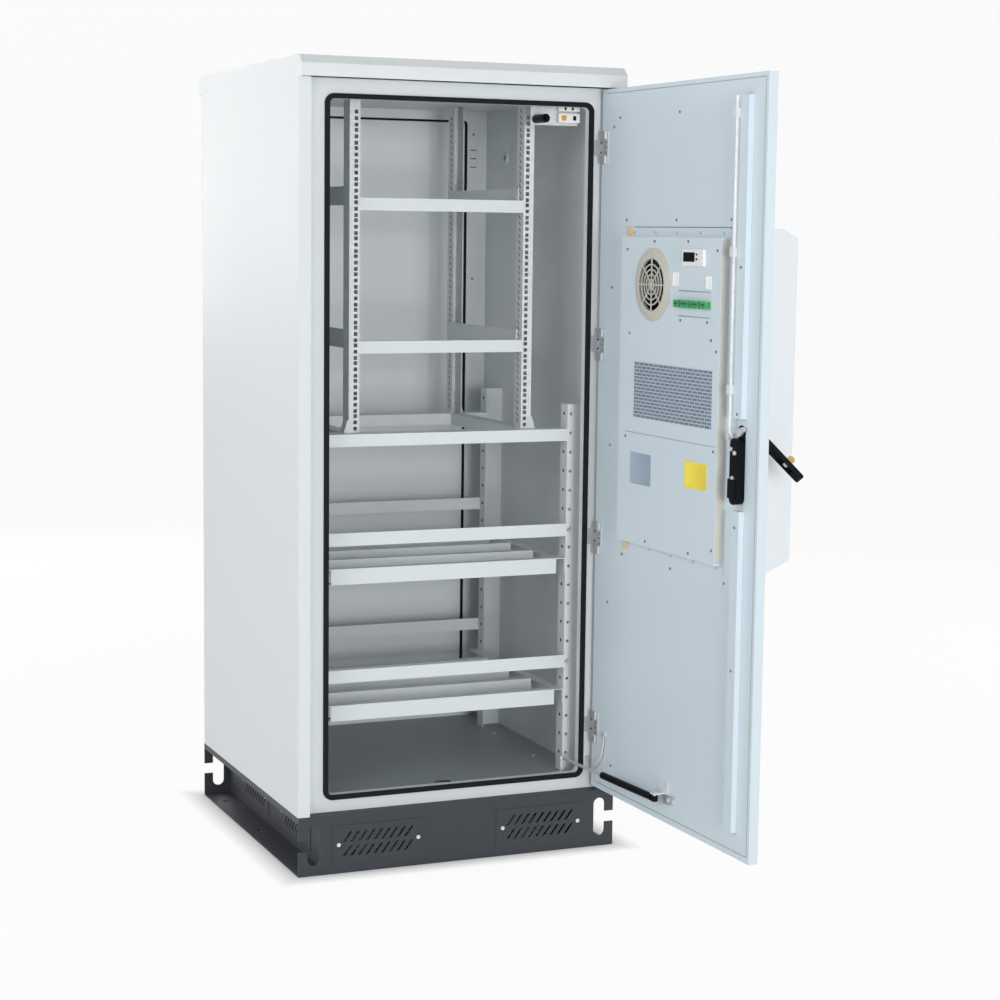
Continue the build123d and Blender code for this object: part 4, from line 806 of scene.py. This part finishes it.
class CABINET_OT_grille(bpy.types.Operator):
    """Screen of staggered slots over the cover's air inlet"""

    bl_idname = "cabinet.grille"
    bl_label = "Grille screen"

    def execute(self, context):
        piece = plate("grille_screen", mm(241, 1148, COVER_FACE), mm(620, 1284, COVER_FACE + 1.2), 0.0004)
        settle(sink(piece, 0.0035, 0.0006), "screen", "door", DOOR)
        return {"FINISHED"}


class CABINET_OT_lock(bpy.types.Operator):
    """Bolts of the lock housing and the nut on the crank's pin"""

    bl_idname = "cabinet.lock"
    bl_label = "Lock fittings"

    def execute(self, context):
        sizes = context.scene.cabinet_fittings
        bolt = turned("lock_bolts", sizes.bolt_radius, 0.004, 6, 0.0006)
        bolt = sink(bolt, 0.0018, 0.0006)
        # The bolts sit on the housing's face, which is thicker only in the block below them
        top = max(corner.z for corner in door_corners("lock_housing") if corner.y > LOCK_BLOCK_TOP)
        places = [on_door(u, z, top) for u, z in ((LOCK_U - 8, 1112), (LOCK_U + 8, 1104), (LOCK_U, 1046))]
        settle(repeat(bolt, "lock_bolts", places), "bright_steel", "door")
        pin = turned("crank_pin_nut", sizes.bolt_radius * 1.3, 0.004, 6, 0.0006)
        settle(sink(pin, 0.0022, 0.0006), "bright_steel", "lock_turn", on_door(*CRANK_PIN))
        return {"FINISHED"}


def flat_slot(name, length, width, thickness):
    """A slot's dark bottom, lying along X on the XY plane, a hair proud of the sheet it is punched in."""
    piece = turned(name, width / 2, thickness, 12, thickness * 0.3)
    bpy.ops.object.mode_set(mode="EDIT")
    mesh = bmesh.from_edit_mesh(piece.data)
    bpy.ops.mesh.select_all(action="DESELECT")
    for side in (1, -1):
        for vertex in mesh.verts:
            vertex.select_set(vertex.co.x * side > 1e-6)
        mesh.select_flush_mode()
        bmesh.update_edit_mesh(piece.data)
        bpy.ops.transform.translate(value=(side * (length - width) / 2, 0, 0))
    bpy.ops.object.mode_set(mode="OBJECT")
    return piece


class CABINET_OT_posts(bpy.types.Operator):
    """Slanted slots in the rack posts' flanges and the hole rows in the corner posts' flanges"""

    bl_idname = "cabinet.posts"
    bl_label = "Post slots"

    def execute(self, context):
        sizes = context.scene.cabinet_fittings
        lean = Matrix.Rotation(math.radians(45), 4, "Z")
        for word, facing in (("left", TO_RIGHT), ("right", TO_LEFT)):
            for end in ("front", "rear"):
                low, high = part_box(f"rack_post_{end}_{word}")
                slot = flat_slot("slot", sizes.slot_length, sizes.slot_width, HAIR)
                count = int((high.z - low.z - POST_SLOT_MARGIN) / sizes.slot_pitch)
                heights = [low.z + POST_SLOT_START + step * sizes.slot_pitch for step in range(count)]
                places = [place @ lean for place in self.on_inner_side(low, high, word, heights, facing)]
                piece = repeat(slot, f"post_slots_{end}_{word}", places)
                settle(piece, "shallow_hole", "cabinet")
                low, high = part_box(f"lower_post_{end}_{word}")
                hole = turned("hole", FLANGE_HOLE_RADIUS, HAIR, 10, HAIR / 4)
                heights = [FLANGE_HOLE_START + FLANGE_HOLE_PITCH * step for step in range(FLANGE_HOLES)]
                places = self.on_inner_side(low, high, word, heights, facing)
                piece = repeat(hole, f"flange_holes_{end}_{word}", places)
                settle(piece, "hole", "cabinet")
        return {"FINISHED"}

    def on_inner_side(self, low, high, word, heights, facing):
        """Places one above the other on the side of a post that faces the cabinet's middle."""
        inner = high.x if word == "left" else low.x
        return [Matrix.Translation((inner, (low.y + high.y) / 2, z)) @ facing for z in heights]


class CABINET_OT_blocks(bpy.types.Operator):
    """Sockets, button and switch of the two terminal blocks under the ceiling"""

    bl_idname = "cabinet.blocks"
    bl_label = "Terminal block fronts"

    def execute(self, context):
        flat = Matrix.Translation((0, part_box("terminal_blocks")[0].y, 0)) @ TO_FRONT
        marks = (
            ("socket_left", (300, 305), (1903, 1914), "black_plastic", "black_plastic"),
            ("socket_right", (320, 325), (1903, 1914), "black_plastic", "black_plastic"),
            ("amber_button", (292, 305), (1877, 1890), "amber", "brass"),
            ("switch_slot", (324, 332), (1878, 1889), "black_plastic", "black_plastic"),
        )
        for name, x, z, finish, slot in marks:
            piece = plate(name, mm(x[0], z[0], 0), mm(x[1], z[1], 1.2), 0.0005)
            settle(sink(piece, 0.001, 0.0003), finish, "cabinet", flat)
        return {"FINISHED"}


class CABINET_OT_walls(bpy.types.Operator):
    """Pressed vents and screws of the rear frame, and the blind cover of the right wall"""

    bl_idname = "cabinet.walls"
    bl_label = "Wall fittings"

    def execute(self, context):
        sizes = context.scene.cabinet_fittings
        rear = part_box("rear_frame")[0].y
        flat = Matrix.Translation((0, rear, 0)) @ TO_FRONT
        for index, z in enumerate((1784, 1808, 1832)):
            piece = plate(f"wall_vent_{index}", mm(349, z - 5, 0), mm(371, z + 5, 2.4), 0.0011, 3)
            settle(piece, "paint_light_grey", "cabinet", flat)
            mouth = plate(f"wall_vent_mouth_{index}", mm(351, z - 7.5, 0), mm(369, z - 4, 1), 0.0004)
            settle(mouth, "hole", "cabinet", flat)
        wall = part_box("right_side_panel")[0].x
        cover = turned("blind_cover", 0.018, 0.0025, 24, 0.001)
        sink(cover, 0.005, 0.0008)
        settle(cover, "paint_light_grey", "cabinet",
               Matrix.Translation((wall, 0.262, 1.80)) @ TO_LEFT)
        head = pan_head("rear_frame_screws", sizes.screw_radius, sizes.screw_height)
        places = []
        for x in (-360, 360):
            for z in (260, 640, 1020, 1460, 1870):
                places.append(Matrix.Translation((x / 1000, rear, z / 1000)) @ TO_FRONT)
        settle(repeat(head, "rear_frame_screws", places), "dull_screw", "cabinet")
        return {"FINISHED"}


class CABINET_PT_pieces(bpy.types.Panel):
    """Settings of the cabinet and the steps that build it"""

    bl_idname = "CABINET_PT_pieces"
    bl_label = "Cabinet"
    bl_space_type = "VIEW_3D"
    bl_region_type = "UI"
    bl_category = "Cabinet"

    def draw(self, context):
        layout = self.layout
        for settings in (context.scene.cabinet_finishes, context.scene.cabinet_fittings):
            column = layout.column()
            for name in settings.__annotations__:
                column.prop(settings, name)
        for operator in OPERATORS:
            layout.operator(operator.bl_idname)


OPERATORS = (
    CABINET_OT_stage, CABINET_OT_finishes, CABINET_OT_earth_wire, CABINET_OT_door_screws, CABINET_OT_lining,
    CABINET_OT_cover, CABINET_OT_controller, CABINET_OT_terminals, CABINET_OT_grille, CABINET_OT_lock,
    CABINET_OT_posts, CABINET_OT_blocks, CABINET_OT_walls,
)
CLASSES = (FinishSettings, FittingSettings, *OPERATORS, CABINET_PT_pieces)


def register():
    for each in CLASSES:
        bpy.utils.register_class(each)
    bpy.types.Scene.cabinet_finishes = bpy.props.PointerProperty(type=FinishSettings)
    bpy.types.Scene.cabinet_fittings = bpy.props.PointerProperty(type=FittingSettings)


def unregister():
    del bpy.types.Scene.cabinet_finishes
    del bpy.types.Scene.cabinet_fittings
    for each in reversed(CLASSES):
        bpy.utils.unregister_class(each)


def main():
    register()
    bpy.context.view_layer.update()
    bpy.ops.cabinet.stage()
    bpy.ops.cabinet.finishes()
    bpy.ops.cabinet.earth_wire()
    bpy.ops.cabinet.door_screws()
    bpy.ops.cabinet.lining()
    bpy.ops.cabinet.cover()
    bpy.ops.cabinet.controller()
    bpy.ops.cabinet.terminals()
    bpy.ops.cabinet.grille()
    bpy.ops.cabinet.lock()
    bpy.ops.cabinet.posts()
    bpy.ops.cabinet.blocks()
    bpy.ops.cabinet.walls()


if __name__ == "__main__":
    main()
